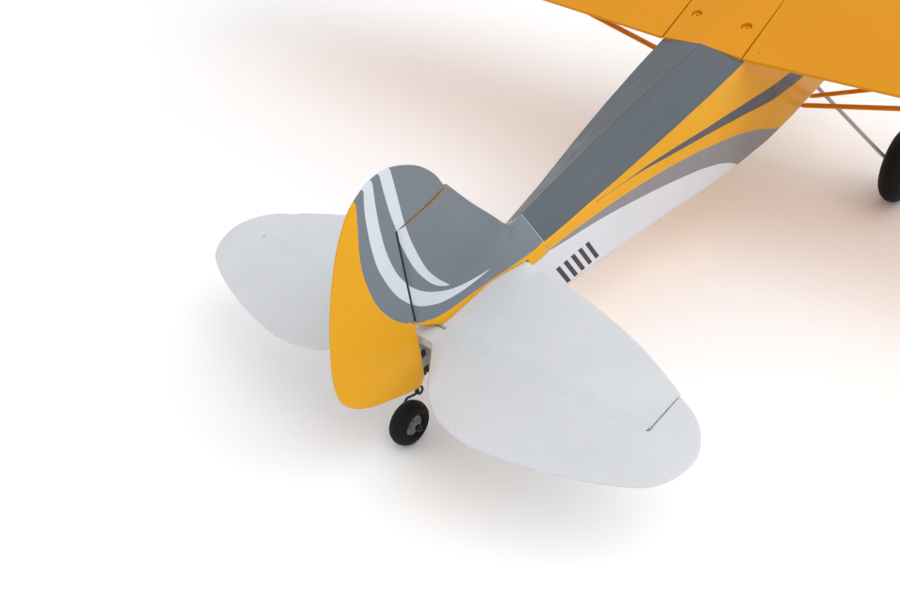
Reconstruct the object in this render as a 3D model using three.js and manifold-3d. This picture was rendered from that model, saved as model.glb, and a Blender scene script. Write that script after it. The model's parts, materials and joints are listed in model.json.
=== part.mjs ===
// A high-wing foam radio-controlled trainer aeroplane, in millimetres.
// The airframe is drawn in its own axes: +X forward, +Y port, +Z up, with the origin on the
// elevator hinge line in the plane of symmetry. It is then pitched nose up to stand on its
// three wheels, with the origin on the floor at the middle of its bounding box.
import * as THREE from "three";
import { mergeVertices } from "three/addons/utils/BufferGeometryUtils.js";
import Module from "manifold-3d";

const wasm = await Module();
wasm.setup();

// ---- driving dimensions -------------------------------------------------------------------
const GAP = 0.3; // clearance between touching pieces
const STANCE_PITCH = THREE.MathUtils.degToRad(11.37); // nose-up angle on the floor
const FLOOR_DEPTH = 91.4; // height of the airframe origin above the floor

const WALL = 6; // foam wall of the fuselage
const STERN_X = -12.6;
const FIN_SEAM_X = 110; // front of the separate fin moulding
const TAIL_THICKNESS = 9;
const TAIL_ROUNDING = 3;
const HINGE_GAP = 0.4; // half the gap of a hinge line
const RUDDER_HINGE_X = -20;
const FIN_TOP_Z = 104;

const WING_TE_X = 371;
const CHORD = 200;
const DIHEDRAL = THREE.MathUtils.degToRad(2.5);
const INCIDENCE = 0.035; // slope of the flat wing underside
const WING_TE_Z = 25.2;
const WING_ROOT_Y = 38.4; // joint between the centre section and a panel
const TRAILING_EDGE = 2.5; // thickness of the trailing edge
const AILERON_CHORD = 40;
const AILERON_SPAN = [262, 562]; // from the panel root
const AILERON_BEVEL = 0.5; // backward slope of the aileron's front face
const SPAR_X = 500;
const SPAR_RADIUS = 4;
const SPAR_HALF = 170;
const WING_BOLT = { x: 405, y: 24.5, head: 4.5, shank: 2.4, length: 24 };

const CABIN_HALF = 44;
const NOSE_X = 695; // front of the foam body
const COWL_FRONT_X = 748;
const THRUST_Z = -45;
const PROP_RADIUS = 115;
const PROP_X = 754;
const SHAFT_RADIUS = 2.5;

const MAIN_WHEEL = { x: 545, y: 135, radius: 40, width: 26, hub: 18, bore: 2.6 };
const TAIL_WHEEL = { x: -42, radius: 18, width: 15, hub: 8, bore: 1.3 };
const GEAR_WIRE = 2; // radius of the main gear wire
const GEAR_SADDLE_Z = -101.3;
const TAIL_WIRE = 1; // radius of the tail wheel wire
const ROD = 0.9; // radius of a pushrod

// Each horn and its servo arm have the same radius, so that each linkage is a parallelogram.
const RUDDER_ARM = 18;
const ELEVATOR_ARM = 17;
const AILERON_ARM = 20;
const PLATE = 2; // thickness of horns and servo arms
const ROD_OFFSET = PLATE / 2 + GAP + ROD; // rod centre beside the middle of a horn
const RUDDER_ROD_Z = -16;
const RUDDER_SERVO_X = 430;
const ELEVATOR_HORN_Y = -22;
const ELEVATOR_SERVO = { x: 380, z: -30 };
const AILERON_SERVO = { x: 465, y: 362 }; // from the panel root

// Fuselage stations: x, ridge height, shoulder half-width and height, floor height.
const STATIONS = [
  { x: STERN_X, ridge: 12, half: 8, shoulder: 3, floor: -39.5 },
  { x: 4, ridge: 14, half: 13.2, shoulder: 3, floor: -41.5 },
  { x: 60, ridge: 20, half: 17.3, shoulder: 3.5, floor: -48.5 },
  { x: FIN_SEAM_X, ridge: 25.5, half: 21, shoulder: 4.5, floor: -55 },
  { x: 162, ridge: 29.3, half: 24.8, shoulder: 7.9, floor: -62 },
  { x: 216, ridge: 31.5, half: 29, shoulder: 14.2, floor: -69 },
  { x: 270, ridge: 32.4, half: 33.3, shoulder: 18.8, floor: -76 },
  { x: 324, ridge: 32.4, half: 37.4, shoulder: 21.6, floor: -85 },
  { x: WING_TE_X, ridge: 31.5, half: 39.8, shoulder: 24.5, floor: -92 },
  { x: 430, ridge: 33, half: 43, shoulder: 27, floor: -97 },
  { x: 480, ridge: 35, half: CABIN_HALF, shoulder: 29, floor: -98 },
  { x: 572, ridge: 34, half: CABIN_HALF, shoulder: 26, floor: -96 },
  { x: 612, ridge: 3, half: 43.5, shoulder: -6, floor: -94 },
  { x: 655, ridge: -1, half: 42, shoulder: -12, floor: -91 },
  { x: NOSE_X, ridge: -6, half: 40, shoulder: -18, floor: -85 },
];

// Flat-bottomed wing section as fractions of the chord, measured back from the leading edge.
const WING_TOP = [
  [0, 0.03], [0.0125, 0.056], [0.05, 0.084], [0.1, 0.105], [0.2, 0.126], [0.3, 0.131],
  [0.4, 0.127], [0.55, 0.109], [0.7, 0.077],
];
const WING_UNDER = [[0.25, 0], [0.06, 0.006], [0.0125, 0.015]];

// ---- geometry helpers ---------------------------------------------------------------------
function positionOnly(geometry) {
  const bare = geometry.clone();
  for (const name of Object.keys(bare.attributes)) {
    if (name !== "position") {
      bare.deleteAttribute(name);
    }
  }
  return mergeVertices(bare, 1e-4);
}

function toSolid(geometry) {
  const merged = positionOnly(geometry);
  const vertProperties = new Float32Array(merged.attributes.position.array);
  const triVerts = new Uint32Array(merged.index.array);
  return new wasm.Manifold(new wasm.Mesh({ numProp: 3, vertProperties, triVerts }));
}

function toGeometry(solid) {
  const mesh = solid.getMesh();
  const geometry = new THREE.BufferGeometry();
  geometry.setAttribute("position", new THREE.BufferAttribute(new Float32Array(mesh.vertProperties), 3));
  geometry.setIndex(new THREE.BufferAttribute(new Uint32Array(mesh.triVerts), 1));
  geometry.computeVertexNormals();
  return geometry;
}

function cut(body, ...tools) {
  return toGeometry(tools.reduce((solid, tool) => solid.subtract(toSolid(tool)), toSolid(body)));
}

function join(body, ...others) {
  return toGeometry(others.reduce((solid, other) => solid.add(toSolid(other)), toSolid(body)));
}

function intersect(body, tool) {
  return toGeometry(toSolid(body).intersect(toSolid(tool)));
}

// Closed skin through rings of equal length. Each end is capped by a fan, or, where `axis` is
// given and the ring may be hollow-sided, by triangles found in the plane across that axis.
function loft(rings, axis) {
  const count = rings[0].length;
  const positions = rings.flat().flatMap((point) => [point.x, point.y, point.z]);
  const index = [];
  for (let ring = 0; ring + 1 < rings.length; ring += 1) {
    for (let k = 0; k < count; k += 1) {
      const here = ring * count + k;
      const beside = ring * count + ((k + 1) % count);
      index.push(here, beside, here + count, beside, beside + count, here + count);
    }
  }
  for (const end of [0, rings.length - 1]) {
    for (const corner of capTriangles(rings[end], axis)) {
      const face = corner.map((k) => end * count + k);
      index.push(...(end === 0 ? face.reverse() : face));
    }
  }
  const geometry = new THREE.BufferGeometry();
  geometry.setAttribute("position", new THREE.Float32BufferAttribute(positions, 3));
  geometry.setIndex(index);
  return facingOut(geometry);
}

// Triangles that fill a ring, each in the ring's own order.
function capTriangles(ring, axis) {
  const last = ring.length - 1;
  if (axis === undefined) {
    return Array.from({ length: last - 1 }, (_, k) => [0, k + 1, k + 2]);
  }
  const [a, b] = ["x", "y", "z"].filter((name) => name !== axis);
  const flat = ring.map((point) => new THREE.Vector2(point[a], point[b]));
  if (THREE.ShapeUtils.isClockWise(flat)) {
    const faces = THREE.ShapeUtils.triangulateShape(flat.reverse(), []);
    return faces.map((face) => face.map((k) => last - k).reverse());
  }
  return THREE.ShapeUtils.triangulateShape(flat, []);
}

// Positions and faces only, turned so that every face points out of the body.
function facingOut(geometry) {
  const merged = positionOnly(geometry);
  const place = merged.attributes.position;
  const order = merged.index.array;
  const [p, q, r] = [new THREE.Vector3(), new THREE.Vector3(), new THREE.Vector3()];
  let volume = 0;
  for (let k = 0; k < order.length; k += 3) {
    p.fromBufferAttribute(place, order[k]);
    q.fromBufferAttribute(place, order[k + 1]);
    r.fromBufferAttribute(place, order[k + 2]);
    volume += p.dot(q.cross(r));
  }
  if (volume < 0) {
    for (let k = 0; k < order.length; k += 3) {
      [order[k + 1], order[k + 2]] = [order[k + 2], order[k + 1]];
    }
  }
  merged.computeVertexNormals();
  return merged;
}

function box(x0, x1, y0, y1, z0, z1) {
  const geometry = new THREE.BoxGeometry(x1 - x0, y1 - y0, z1 - z0);
  return geometry.translate((x0 + x1) / 2, (y0 + y1) / 2, (z0 + z1) / 2);
}

// Box with its four edges along the given axis rounded.
function roundedBox(size, corner, axis = "z") {
  const [width, depth, height] = size;
  const outline = new THREE.Shape();
  const [w, d] = [width / 2, depth / 2];
  outline.moveTo(-w + corner, -d);
  outline.lineTo(w - corner, -d);
  outline.quadraticCurveTo(w, -d, w, -d + corner);
  outline.lineTo(w, d - corner);
  outline.quadraticCurveTo(w, d, w - corner, d);
  outline.lineTo(-w + corner, d);
  outline.quadraticCurveTo(-w, d, -w, d - corner);
  outline.lineTo(-w, -d + corner);
  outline.quadraticCurveTo(-w, -d, -w + corner, -d);
  const options = { depth: height, bevelEnabled: false, curveSegments: 3 };
  const geometry = new THREE.ExtrudeGeometry(outline, options);
  geometry.translate(0, 0, -height / 2);
  if (axis === "x") {
    geometry.rotateY(Math.PI / 2);
  }
  if (axis === "y") {
    geometry.rotateX(Math.PI / 2);
  }
  return geometry;
}

// Cylinder along an axis, centred on the origin.
function rod(radius, length, axis, sides = 16) {
  const geometry = new THREE.CylinderGeometry(radius, radius, length, sides);
  if (axis === "x") {
    geometry.rotateZ(Math.PI / 2);
  }
  if (axis === "z") {
    geometry.rotateX(Math.PI / 2);
  }
  return geometry;
}

// Body of revolution about an axis; the profile holds [radius, distance along the axis].
function turned(profile, axis, segments = 24) {
  const points = profile.map(([radius, along]) => new THREE.Vector2(radius, along));
  const geometry = new THREE.LatheGeometry(points, segments);
  if (axis === "x") {
    geometry.rotateZ(-Math.PI / 2);
  }
  if (axis === "z") {
    geometry.rotateX(Math.PI / 2);
  }
  return facingOut(geometry);
}

// Flat panel with rounded edges, from an outline of [u, v]; `plane` is "xy" or "xz".
function panel(shape, thickness, rounding, plane, curveSegments = 6) {
  const geometry = new THREE.ExtrudeGeometry(shape, {
    depth: thickness - 2 * rounding,
    bevelThickness: rounding,
    bevelSize: rounding,
    bevelOffset: -rounding,
    bevelSegments: 2,
    curveSegments,
  });
  geometry.translate(0, 0, rounding - thickness / 2);
  if (plane === "xz") {
    geometry.rotateX(Math.PI / 2);
  }
  return facingOut(geometry);
}

// Round wire along a list of [x, y, z], with every corner rounded.
function wire(points, radius, bend = 4, sides = 8) {
  const path = new THREE.CurvePath();
  const corners = points.map((point) => new THREE.Vector3(...point));
  let from = corners[0];
  for (let k = 1; k + 1 < corners.length; k += 1) {
    const before = corners[k - 1].clone().sub(corners[k]);
    const after = corners[k + 1].clone().sub(corners[k]);
    const reach = Math.min(bend, before.length() / 2.2, after.length() / 2.2);
    const start = corners[k].clone().add(before.setLength(reach));
    const end = corners[k].clone().add(after.setLength(reach));
    path.add(new THREE.LineCurve3(from, start));
    path.add(new THREE.QuadraticBezierCurve3(start, corners[k], end));
    from = end;
  }
  path.add(new THREE.LineCurve3(from, corners.at(-1)));
  return tube(pathPoints(path), radius, sides);
}

// Points of a composite curve: ends of its lines, and five points round each bend.
function pathPoints(path) {
  const points = [];
  for (const piece of path.curves) {
    const steps = piece.isLineCurve3 ? 1 : 4;
    for (const point of piece.getPoints(steps)) {
      if (points.length === 0 || points.at(-1).distanceTo(point) > 0.05) {
        points.push(point);
      }
    }
  }
  return points;
}

// Closed tube through points, its rings carried along without twist.
function tube(points, radius, sides) {
  const rings = [];
  let across = new THREE.Vector3();
  points.forEach((point, k) => {
    const next = points[Math.min(k + 1, points.length - 1)];
    const ahead = next.clone().sub(points[Math.max(k - 1, 0)]).normalize();
    if (k === 0) {
      const helper = Math.abs(ahead.z) < 0.9 ? new THREE.Vector3(0, 0, 1) : new THREE.Vector3(1, 0, 0);
      across.crossVectors(ahead, helper).normalize();
    } else {
      across.addScaledVector(ahead, -across.dot(ahead)).normalize();
    }
    const other = new THREE.Vector3().crossVectors(ahead, across);
    rings.push(Array.from({ length: sides }, (_, side) => {
      const turn = (side / sides) * 2 * Math.PI;
      return point.clone()
        .addScaledVector(across, radius * Math.cos(turn))
        .addScaledVector(other, radius * Math.sin(turn));
    }));
  });
  return loft(rings);
}

function vertices(list) {
  return list.map(([x, y, z]) => new THREE.Vector3(x, y, z));
}

function mirrored(geometry, side) {
  return side > 0 ? geometry : facingOut(geometry.clone().scale(1, -1, 1));
}

// ---- fuselage -----------------------------------------------------------------------------
// Gable-roofed section, or the same section pulled in by the wall thickness.
function fuselageRing(station, wall) {
  const half = station.half - wall;
  const ridge = station.ridge - 1.4 * wall;
  const shoulder = station.shoulder - 0.6 * wall;
  const floor = station.floor + wall;
  const corner = Math.max(7 - wall, 2);
  const side = [
    [half * 0.5, (ridge + shoulder) / 2 + 0.6],
    [half - 0.8, shoulder + 0.4],
    [half, shoulder - 1],
    [half - 0.5, floor + corner],
    [half - 0.5 - 0.3 * corner, floor + 0.3 * corner],
    [half - 0.5 - corner, floor],
  ];
  const port = side.map(([y, z]) => [station.x, y, z]);
  const starboard = side.map(([y, z]) => [station.x, -y, z]).reverse();
  return vertices([[station.x, 0, ridge], ...port, ...starboard]);
}

function fuselageBody(wall) {
  const stations = STATIONS.map((station) => ({ ...station }));
  if (wall > 0) {
    stations[0].x = STERN_X + 2 * wall;
    stations[0].half = stations[1].half;
    stations.splice(1, 1);
    stations.at(-1).x = NOSE_X + wall;
  }
  return loft(stations.map((station) => fuselageRing(station, wall)), "x");
}

const HATCH = { rear: 622, front: 686, half: 33, sill: -26 };
const WINDOW = { rear: 484, front: 560, sill: -22, head: 16 };

function wingSeat(lift) {
  const rear = WING_TE_Z - GAP + lift;
  const front = rear + INCIDENCE * CHORD;
  const [x0, x1, top] = [WING_TE_X - GAP, WING_TE_X + CHORD + 2, 90];
  const ring = (y) => vertices([[x0, y, rear], [x1, y, front], [x1, y, top], [x0, y, top]]);
  return loft([ring(-60), ring(60)], "y");
}

function fuselageShell() {
  const under = -TAIL_THICKNESS / 2 - GAP;
  const { x, y, shank } = WING_BOLT;
  const blocks = [-1, 1].map((side) => box(x - 12, x + 12, side * 28 - 10, side * 28 + 10, 8, 16));
  const threads = [-1, 1].map((side) => rod(shank + GAP, 20, "z", 12).translate(x, side * y, 12));
  return cut(
    join(cut(fuselageBody(0), fuselageBody(WALL)), ...blocks),
    ...threads,
    box(STERN_X - 10, FIN_SEAM_X, -60, 60, under, 80),
    box(STERN_X - 10, 0.6, -60, 60, -11, 80), // room for the swing of the elevator joiner
    wingSeat(0),
    box(384, 562, -33, 33, 17, 80), // cabin opening under the centre section
    box(HATCH.rear, HATCH.front, -HATCH.half, HATCH.half, HATCH.sill, 40),
    box(WINDOW.rear, WINDOW.front, -60, 60, WINDOW.sill, WINDOW.head),
    box(579, 607, -34, 34, -16, 60), // windscreen opening
    box(54, 122, 6, 40, RUDDER_ROD_Z - 3, RUDDER_ROD_Z + 3), // rudder rod slot
    box(43, 84, -40, -6, -23, -12), // elevator rod slot
  );
}

function windscreen() {
  const rings = [576, 609].map((x) => {
    const share = (x - 572) / (612 - 572);
    const ridge = 34 + share * (3 - 34);
    const shoulder = 26 + share * (-6 - 26);
    const [half, rise] = [38, 0.14 * (ridge - shoulder)];
    return vertices([
      [x, 0, ridge + 3.4], [x, half, shoulder + rise + 3.4], [x, half, shoulder + rise + 1.6],
      [x, 0, ridge + 1.6], [x, -half, shoulder + rise + 1.6], [x, -half, shoulder + rise + 3.4],
    ]);
  });
  return loft(rings, "x");
}

function hatch() {
  const { rear, front, half, sill } = HATCH;
  const bounds = box(rear + GAP, front - GAP, GAP - half, half - GAP, sill + GAP, 40);
  return intersect(cut(fuselageBody(0), fuselageBody(0).translate(0, 0, -WALL)), bounds);
}

function cowl() {
  const stations = [
    [NOSE_X + GAP, 40, 39.6, -45.6], [718, 39, 38, -45.5], [736, 35, 34, -45.2],
    [COWL_FRONT_X, 26, 25, THRUST_Z],
  ];
  const skinAt = (wall, reach) => loft(stations.map(([x, half, rise, middle], k) => {
    const place = k === 0 ? x - reach : x + (k === stations.length - 1 ? reach : 0);
    return Array.from({ length: 24 }, (_, side) => {
      const turn = (side / 24) * 2 * Math.PI;
      const [c, s] = [Math.cos(turn), Math.sin(turn)];
      const square = (value) => Math.sign(value) * Math.abs(value) ** 0.6;
      return new THREE.Vector3(place, (half - wall) * square(c), middle + (rise - wall) * square(s));
    });
  }));
  return cut(skinAt(0, 0), skinAt(2.4, 1));
}

// ---- tail ---------------------------------------------------------------------------------
function stabilizer() {
  const outline = new THREE.Shape();
  outline.moveTo(HINGE_GAP, -179.3);
  outline.lineTo(39, -179.3);
  for (const side of [-1, 1]) {
    const edge = [[46, 167], [57, 145], [66, 123], [73, 102], [79, 81], [83, 60], [87, 30]];
    const ordered = side < 0 ? edge : edge.slice().reverse();
    outline.splineThru(ordered.map(([x, y]) => new THREE.Vector2(x, side * y)));
  }
  outline.lineTo(39, 179.3);
  outline.lineTo(HINGE_GAP, 179.3);
  outline.closePath();
  return panel(outline, TAIL_THICKNESS, TAIL_ROUNDING, "xy", 2);
}

// One piece: two surfaces with horn-balanced tips, and the joiner bar between them.
function elevator() {
  const tip = [[29, 195.5], [17, 207], [0, 214], [-17, 212], [-29, 206], [-38, 197], [-49, 176]];
  const trailing = [[-58, 152], [-65, 127], [-70, 99], [-72, 84], [-70, 65], [-62, 45]];
  const inner = [[-48, 36.5], [-31, 24], [-16, 13]];
  const outline = new THREE.Shape();
  const follow = (points, side, smooth) => {
    const ordered = side > 0 ? points : points.slice().reverse();
    const run = ordered.map(([x, y]) => new THREE.Vector2(x, side * y));
    if (smooth) {
      outline.splineThru(run);
    } else {
      run.forEach((point) => outline.lineTo(point.x, point.y));
    }
  };
  outline.moveTo(-HINGE_GAP, 180.7);
  outline.lineTo(37, 180.7);
  follow(tip, 1, true);
  follow(trailing, 1, true);
  follow(inner, 1, false);
  follow(inner, -1, false);
  follow(trailing, -1, true);
  follow(tip, -1, true);
  outline.lineTo(37, -180.7);
  outline.lineTo(-HINGE_GAP, -180.7);
  outline.closePath();
  return panel(outline, TAIL_THICKNESS, TAIL_ROUNDING, "xy", 2);
}

// Vertical panels are drawn as [x, height] and stood up in the plane of symmetry.
function fin() {
  const blade = new THREE.Shape();
  blade.moveTo(RUDDER_HINGE_X + HINGE_GAP, 19);
  blade.lineTo(RUDDER_HINGE_X + HINGE_GAP, FIN_TOP_Z);
  blade.lineTo(36, FIN_TOP_Z);
  blade.splineThru([[56, 75], [75, 50], [92, 27], [99, 20]].map(([x, z]) => new THREE.Vector2(x, z)));
  blade.lineTo(99, 9);
  blade.lineTo(2, 9);
  blade.lineTo(2, 19);
  blade.closePath();
  const above = TAIL_THICKNESS / 2 + GAP;
  const floor = -TAIL_THICKNESS / 2;
  // x, ridge height, half width, shoulder height, and the height of the underside
  const stations = [
    [RUDDER_HINGE_X + HINGE_GAP, 20.5, 1.5, 20, 19.2], [-16.5, 20.3, 4.5, 19, 16.9], [1.5, 16, 8.6, 9, above],
    [1.8, 16, 8.6, 9, floor], [10, 17, 9.5, 8, floor], [55, 20, 10.5, 8, floor], [66, 21.5, 13, 7, floor],
    [77, 22.5, 16.5, 6.5, floor], [88, 23.5, 19.5, 5.5, floor], [FIN_SEAM_X - GAP, 25.3, 20.8, 4.5, floor],
  ];
  const saddle = loft(stations.map(([x, ridge, half, shoulder, low]) => {
    const waist = (ridge + shoulder) / 2 + 0.6;
    return vertices([
      [x, 0, ridge], [x, half / 2, waist], [x, half, shoulder], [x, half, low],
      [x, -half, low], [x, -half, shoulder], [x, -half / 2, waist],
    ]);
  }), "x");
  const standing = panel(blade, TAIL_THICKNESS, TAIL_ROUNDING, "xz", 2);
  const slot = box(-12, 88 + GAP + 0.5, -60, 60, -20, above);
  return cut(join(standing, saddle), slot);
}

function rudder() {
  const outline = new THREE.Shape();
  const hinge = RUDDER_HINGE_X - HINGE_GAP;
  outline.moveTo(hinge, -35);
  outline.lineTo(hinge, FIN_TOP_Z + 1.6);
  outline.lineTo(33, FIN_TOP_Z + 1.6);
  const top = [[25, 121], [11, 136], [-10, 148], [-28, 150], [-43, 145], [-54, 137]];
  const rear = [[-67, 119], [-80, 91], [-89, 63], [-95.6, 31], [-95, 9], [-87, -6]];
  const foot = [[-73, -18.5], [-54, -29], [-35, -38.5], [-25, -42.5]];
  for (const run of [top, rear, foot]) {
    outline.splineThru(run.map(([x, z]) => new THREE.Vector2(x, z)));
  }
  outline.closePath();
  const socket = rod(TAIL_WIRE + GAP, 24, "z", 8).translate(-27, 0, -42);
  return cut(panel(outline, TAIL_THICKNESS, TAIL_ROUNDING, "xz", 2), socket);
}

function rudderHinge(z) {
  const front = STERN_X - GAP;
  const leaf = box(RUDDER_HINGE_X + 0.9, front, -0.6, 0.6, z - 3, z + 3);
  const knuckle = rod(1.3, 6, "z", 10).translate(RUDDER_HINGE_X + 2.6, 0, z);
  return join(leaf, knuckle);
}

// Flat plate with a rounded ear round its hole, drawn as [along, out] from the pivot.
function armPlate(reach, foot, base) {
  const ear = 3;
  const outline = new THREE.Shape();
  outline.moveTo(base[1], foot);
  outline.absarc(0, reach, ear, 0, Math.PI, false);
  outline.lineTo(base[0], foot);
  outline.closePath();
  const plate = new THREE.ExtrudeGeometry(outline, { depth: PLATE, bevelEnabled: false, curveSegments: 5 });
  const hole = rod(ROD + GAP, 3 * PLATE, "z", 8).translate(0, reach, PLATE / 2);
  return cut(plate, hole).translate(0, 0, -PLATE / 2);
}

const SURFACE = TAIL_THICKNESS / 2 + GAP; // from the middle of a tail panel to a horn's foot

function elevatorHorn() {
  const plate = armPlate(ELEVATOR_ARM, SURFACE, [-26, -5]);
  return plate.rotateX(-Math.PI / 2).translate(0, ELEVATOR_HORN_Y, 0);
}

function rudderHorn() {
  const plate = armPlate(RUDDER_ARM, SURFACE, [-26, -5]);
  return plate.translate(RUDDER_HINGE_X, 0, RUDDER_ROD_Z - ROD_OFFSET);
}

function tailWheelWire() {
  const { x, z } = tailAxle();
  const coil = Array.from({ length: 9 }, (_, k) => {
    const turn = (k / 8) * 2 * Math.PI;
    return [-24.2 - 2.8 * Math.cos(turn), 0.34 * k, -47.5 - 2.8 * Math.sin(turn)];
  });
  const clear = TAIL_WHEEL.width / 2 + 3.2;
  const leg = [[-27.2, 3.4, -50.5], [-30.5, 9.4, -55.5], [-32.5, clear, -58.5], [-39, clear, z + 3.2]];
  const bend = [[x + 1.2, clear - 0.4, z + 1.5], [x + 0.2, clear - 1.4, z + 0.4], [x, clear - 2.8, z]];
  const route = [[-27, 0, -33], ...coil, ...leg, ...bend, [x, -clear - 1.5, z]];
  return tube(vertices(route), TAIL_WIRE, 8);
}

// ---- wheels -------------------------------------------------------------------------------
// Height of an axle whose wheel just touches the floor under a given station.
function axleHeight(x, radius) {
  return (radius - FLOOR_DEPTH - Math.sin(STANCE_PITCH) * x) / Math.cos(STANCE_PITCH);
}

function tailAxle() {
  return { x: TAIL_WHEEL.x, z: axleHeight(TAIL_WHEEL.x, TAIL_WHEEL.radius) };
}

function tyre({ radius, width, hub }) {
  const [r0, w] = [hub + GAP, width / 2];
  const depth = radius - hub;
  const profile = [
    [r0, -0.7 * w], [r0 + 0.25 * depth, -w], [r0 + 0.55 * depth, -w], [r0 + 0.85 * depth, -0.62 * w],
    [radius, 0], [r0 + 0.85 * depth, 0.62 * w], [r0 + 0.55 * depth, w], [r0 + 0.25 * depth, w],
    [r0, 0.7 * w], [r0, -0.7 * w],
  ];
  return turned(profile, "y", 32);
}

function hub({ width, hub: rim, bore }) {
  const [w, boss] = [width / 2, bore + 0.22 * rim];
  const profile = [
    [bore, -0.95 * w], [boss, -0.95 * w], [boss, -0.4 * w], [rim * 0.86, -0.45 * w], [rim, -0.68 * w],
    [rim, 0.68 * w], [rim * 0.86, 0.45 * w], [boss, 0.4 * w], [boss, 0.95 * w], [bore, 0.95 * w],
    [bore, -0.95 * w],
  ];
  return turned(profile, "y", 16);
}

function collar(outer, bore, length) {
  const half = length / 2;
  return turned([[bore, -half], [outer, -half], [outer, half], [bore, half], [bore, -half]], "y", 16);
}

function mainGearWire() {
  const z = axleHeight(MAIN_WHEEL.x, MAIN_WHEEL.radius);
  const track = MAIN_WHEEL.y;
  const half = [[34, GEAR_SADDLE_Z], [track - 22, z + 3], [track - 18, z], [track + 22, z]];
  const port = half.map(([y, height]) => [MAIN_WHEEL.x, y, height]);
  const starboard = half.map(([y, height]) => [MAIN_WHEEL.x, -y, height]).reverse();
  const stops = [-1, 1].flatMap((side) => [[-1, 4], [1, 4]].map(([end, length]) => {
    const y = MAIN_WHEEL.y + end * (MAIN_WHEEL.width / 2 + 3.2);
    return rod(2.2 * GEAR_WIRE, length, "y", 12).translate(MAIN_WHEEL.x, side * y, z);
  }));
  return join(wire([...starboard, ...port], GEAR_WIRE, 5, 8), ...stops);
}

function gearSaddle() {
  const { x } = MAIN_WHEEL;
  const block = roundedBox([34, 54, 7], 5).translate(x, 0, GEAR_SADDLE_Z);
  const room = GEAR_WIRE + GAP;
  return cut(block, box(x - room, x + room, -50, 50, GEAR_SADDLE_Z - room, GEAR_SADDLE_Z + room));
}

// ---- wing ---------------------------------------------------------------------------------
function underside(x) {
  return WING_TE_Z + INCIDENCE * (x - WING_TE_X);
}

// Straight upper surface between the last point of the section and the trailing edge.
function rearTop(x) {
  const [back, rise] = WING_TOP.at(-1);
  const joint = WING_TE_X + CHORD * (1 - back);
  const height = underside(joint) + rise * CHORD;
  const low = WING_TE_Z + TRAILING_EDGE;
  return low + ((height - low) * (x - WING_TE_X)) / (joint - WING_TE_X);
}

// Wing section at a spanwise place, shrunk in plan and in thickness towards a rounded tip.
function wingRing(y, plan = 1, depth = 1, crown = 0) {
  const middle = WING_TE_X + CHORD / 2;
  const place = ([back, rise]) => {
    const x = middle + plan * CHORD * (0.5 - back);
    const lift = crown * Math.max(0, (back - 0.6) / 0.4);
    return [x, y, underside(x) + depth * rise * CHORD + (1 - depth) * 8 + lift];
  };
  const rear = [1, TRAILING_EDGE / CHORD];
  const top = [...WING_TOP, rear].map(place);
  const [x, , z] = place([1, 0]);
  return vertices([...top, [x, y, z - crown], ...WING_UNDER.map(place)]);
}

const TIP = [[570, 1, 1], [586, 0.94, 0.92], [599, 0.82, 0.74], [607, 0.62, 0.5], [611.6, 0.3, 0.2]];
const ROOT = 1.4; // leaves room for the tilt of the panel at the root
const HINGE_X = WING_TE_X + AILERON_CHORD;

function wingPanel(sparBore) {
  const skin = loft([wingRing(ROOT), ...TIP.map(([y, plan, depth]) => wingRing(y, plan, depth))], "y");
  const [inner, outer] = AILERON_SPAN;
  const { x, y } = AILERON_SERVO;
  const servoTop = aileronServoHeight() + 6 + GAP;
  return cut(
    skin,
    box(WING_TE_X - 5, HINGE_X + HINGE_GAP, inner - 0.7, outer + 0.7, 0, 90),
    box(x - 17 - GAP, x + 6 + GAP, y - 24 - GAP, y + 4, 0, servoTop),
    box(x - 22 - GAP, x + 11 + GAP, y - 9, y - 5, 0, servoTop),
    sparBore,
  );
}

function aileron() {
  const front = HINGE_X - HINGE_GAP;
  const low = underside(front);
  const bevel = AILERON_BEVEL * (rearTop(front) - low);
  const ring = (y) => vertices([
    [front, y, rearTop(front)], [WING_TE_X, y, WING_TE_Z + TRAILING_EDGE], [WING_TE_X, y, WING_TE_Z],
    [front - bevel, y, underside(front - bevel)],
  ]);
  return loft([ring(AILERON_SPAN[0]), ring(AILERON_SPAN[1])], "y");
}

function aileronServoHeight() {
  return underside(AILERON_SERVO.x) + 9;
}

const AILERON_LINK_Y = AILERON_SERVO.y + GAP + PLATE / 2;

function aileronHorn() {
  const foot = rearTop(HINGE_X) - underside(HINGE_X) + 4 * GAP;
  const plate = armPlate(AILERON_ARM, foot, [-24, -7]);
  return plate.rotateX(-Math.PI / 2).translate(HINGE_X, AILERON_LINK_Y, rearTop(HINGE_X));
}

// Centre section: its roof keeps the gable of the fuselage at the trailing edge.
function wingCentre(spar) {
  const half = WING_ROOT_Y - GAP;
  const skin = loft([wingRing(-half), wingRing(0, 1, 1, 3.2), wingRing(half)], "y");
  const flat = cut(skin, box(WING_TE_X - 9, WING_TE_X + 90, -50, 50, -20, WING_TE_Z));
  const holes = [-1, 1].flatMap((side) => {
    const { x, y, head, shank } = WING_BOLT;
    return [
      rod(shank + GAP, 80, "z", 12).translate(x, side * y, 40),
      rod(head + GAP, 40, "z", 16).translate(x, side * y, BOLT_SEAT_Z + 20),
    ];
  });
  return cut(flat, spar, ...holes);
}

const BOLT_SEAT_Z = 32;

function wingBolt() {
  const { head, shank, length } = WING_BOLT;
  const profile = [
    [0, -length], [shank, -length], [shank, GAP], [head, GAP], [head, 2.6], [head - 1, 3.4], [1.6, 3.4],
    [1.6, 1.6], [0, 1.6],
  ];
  return turned(profile, "z", 12);
}

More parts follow.
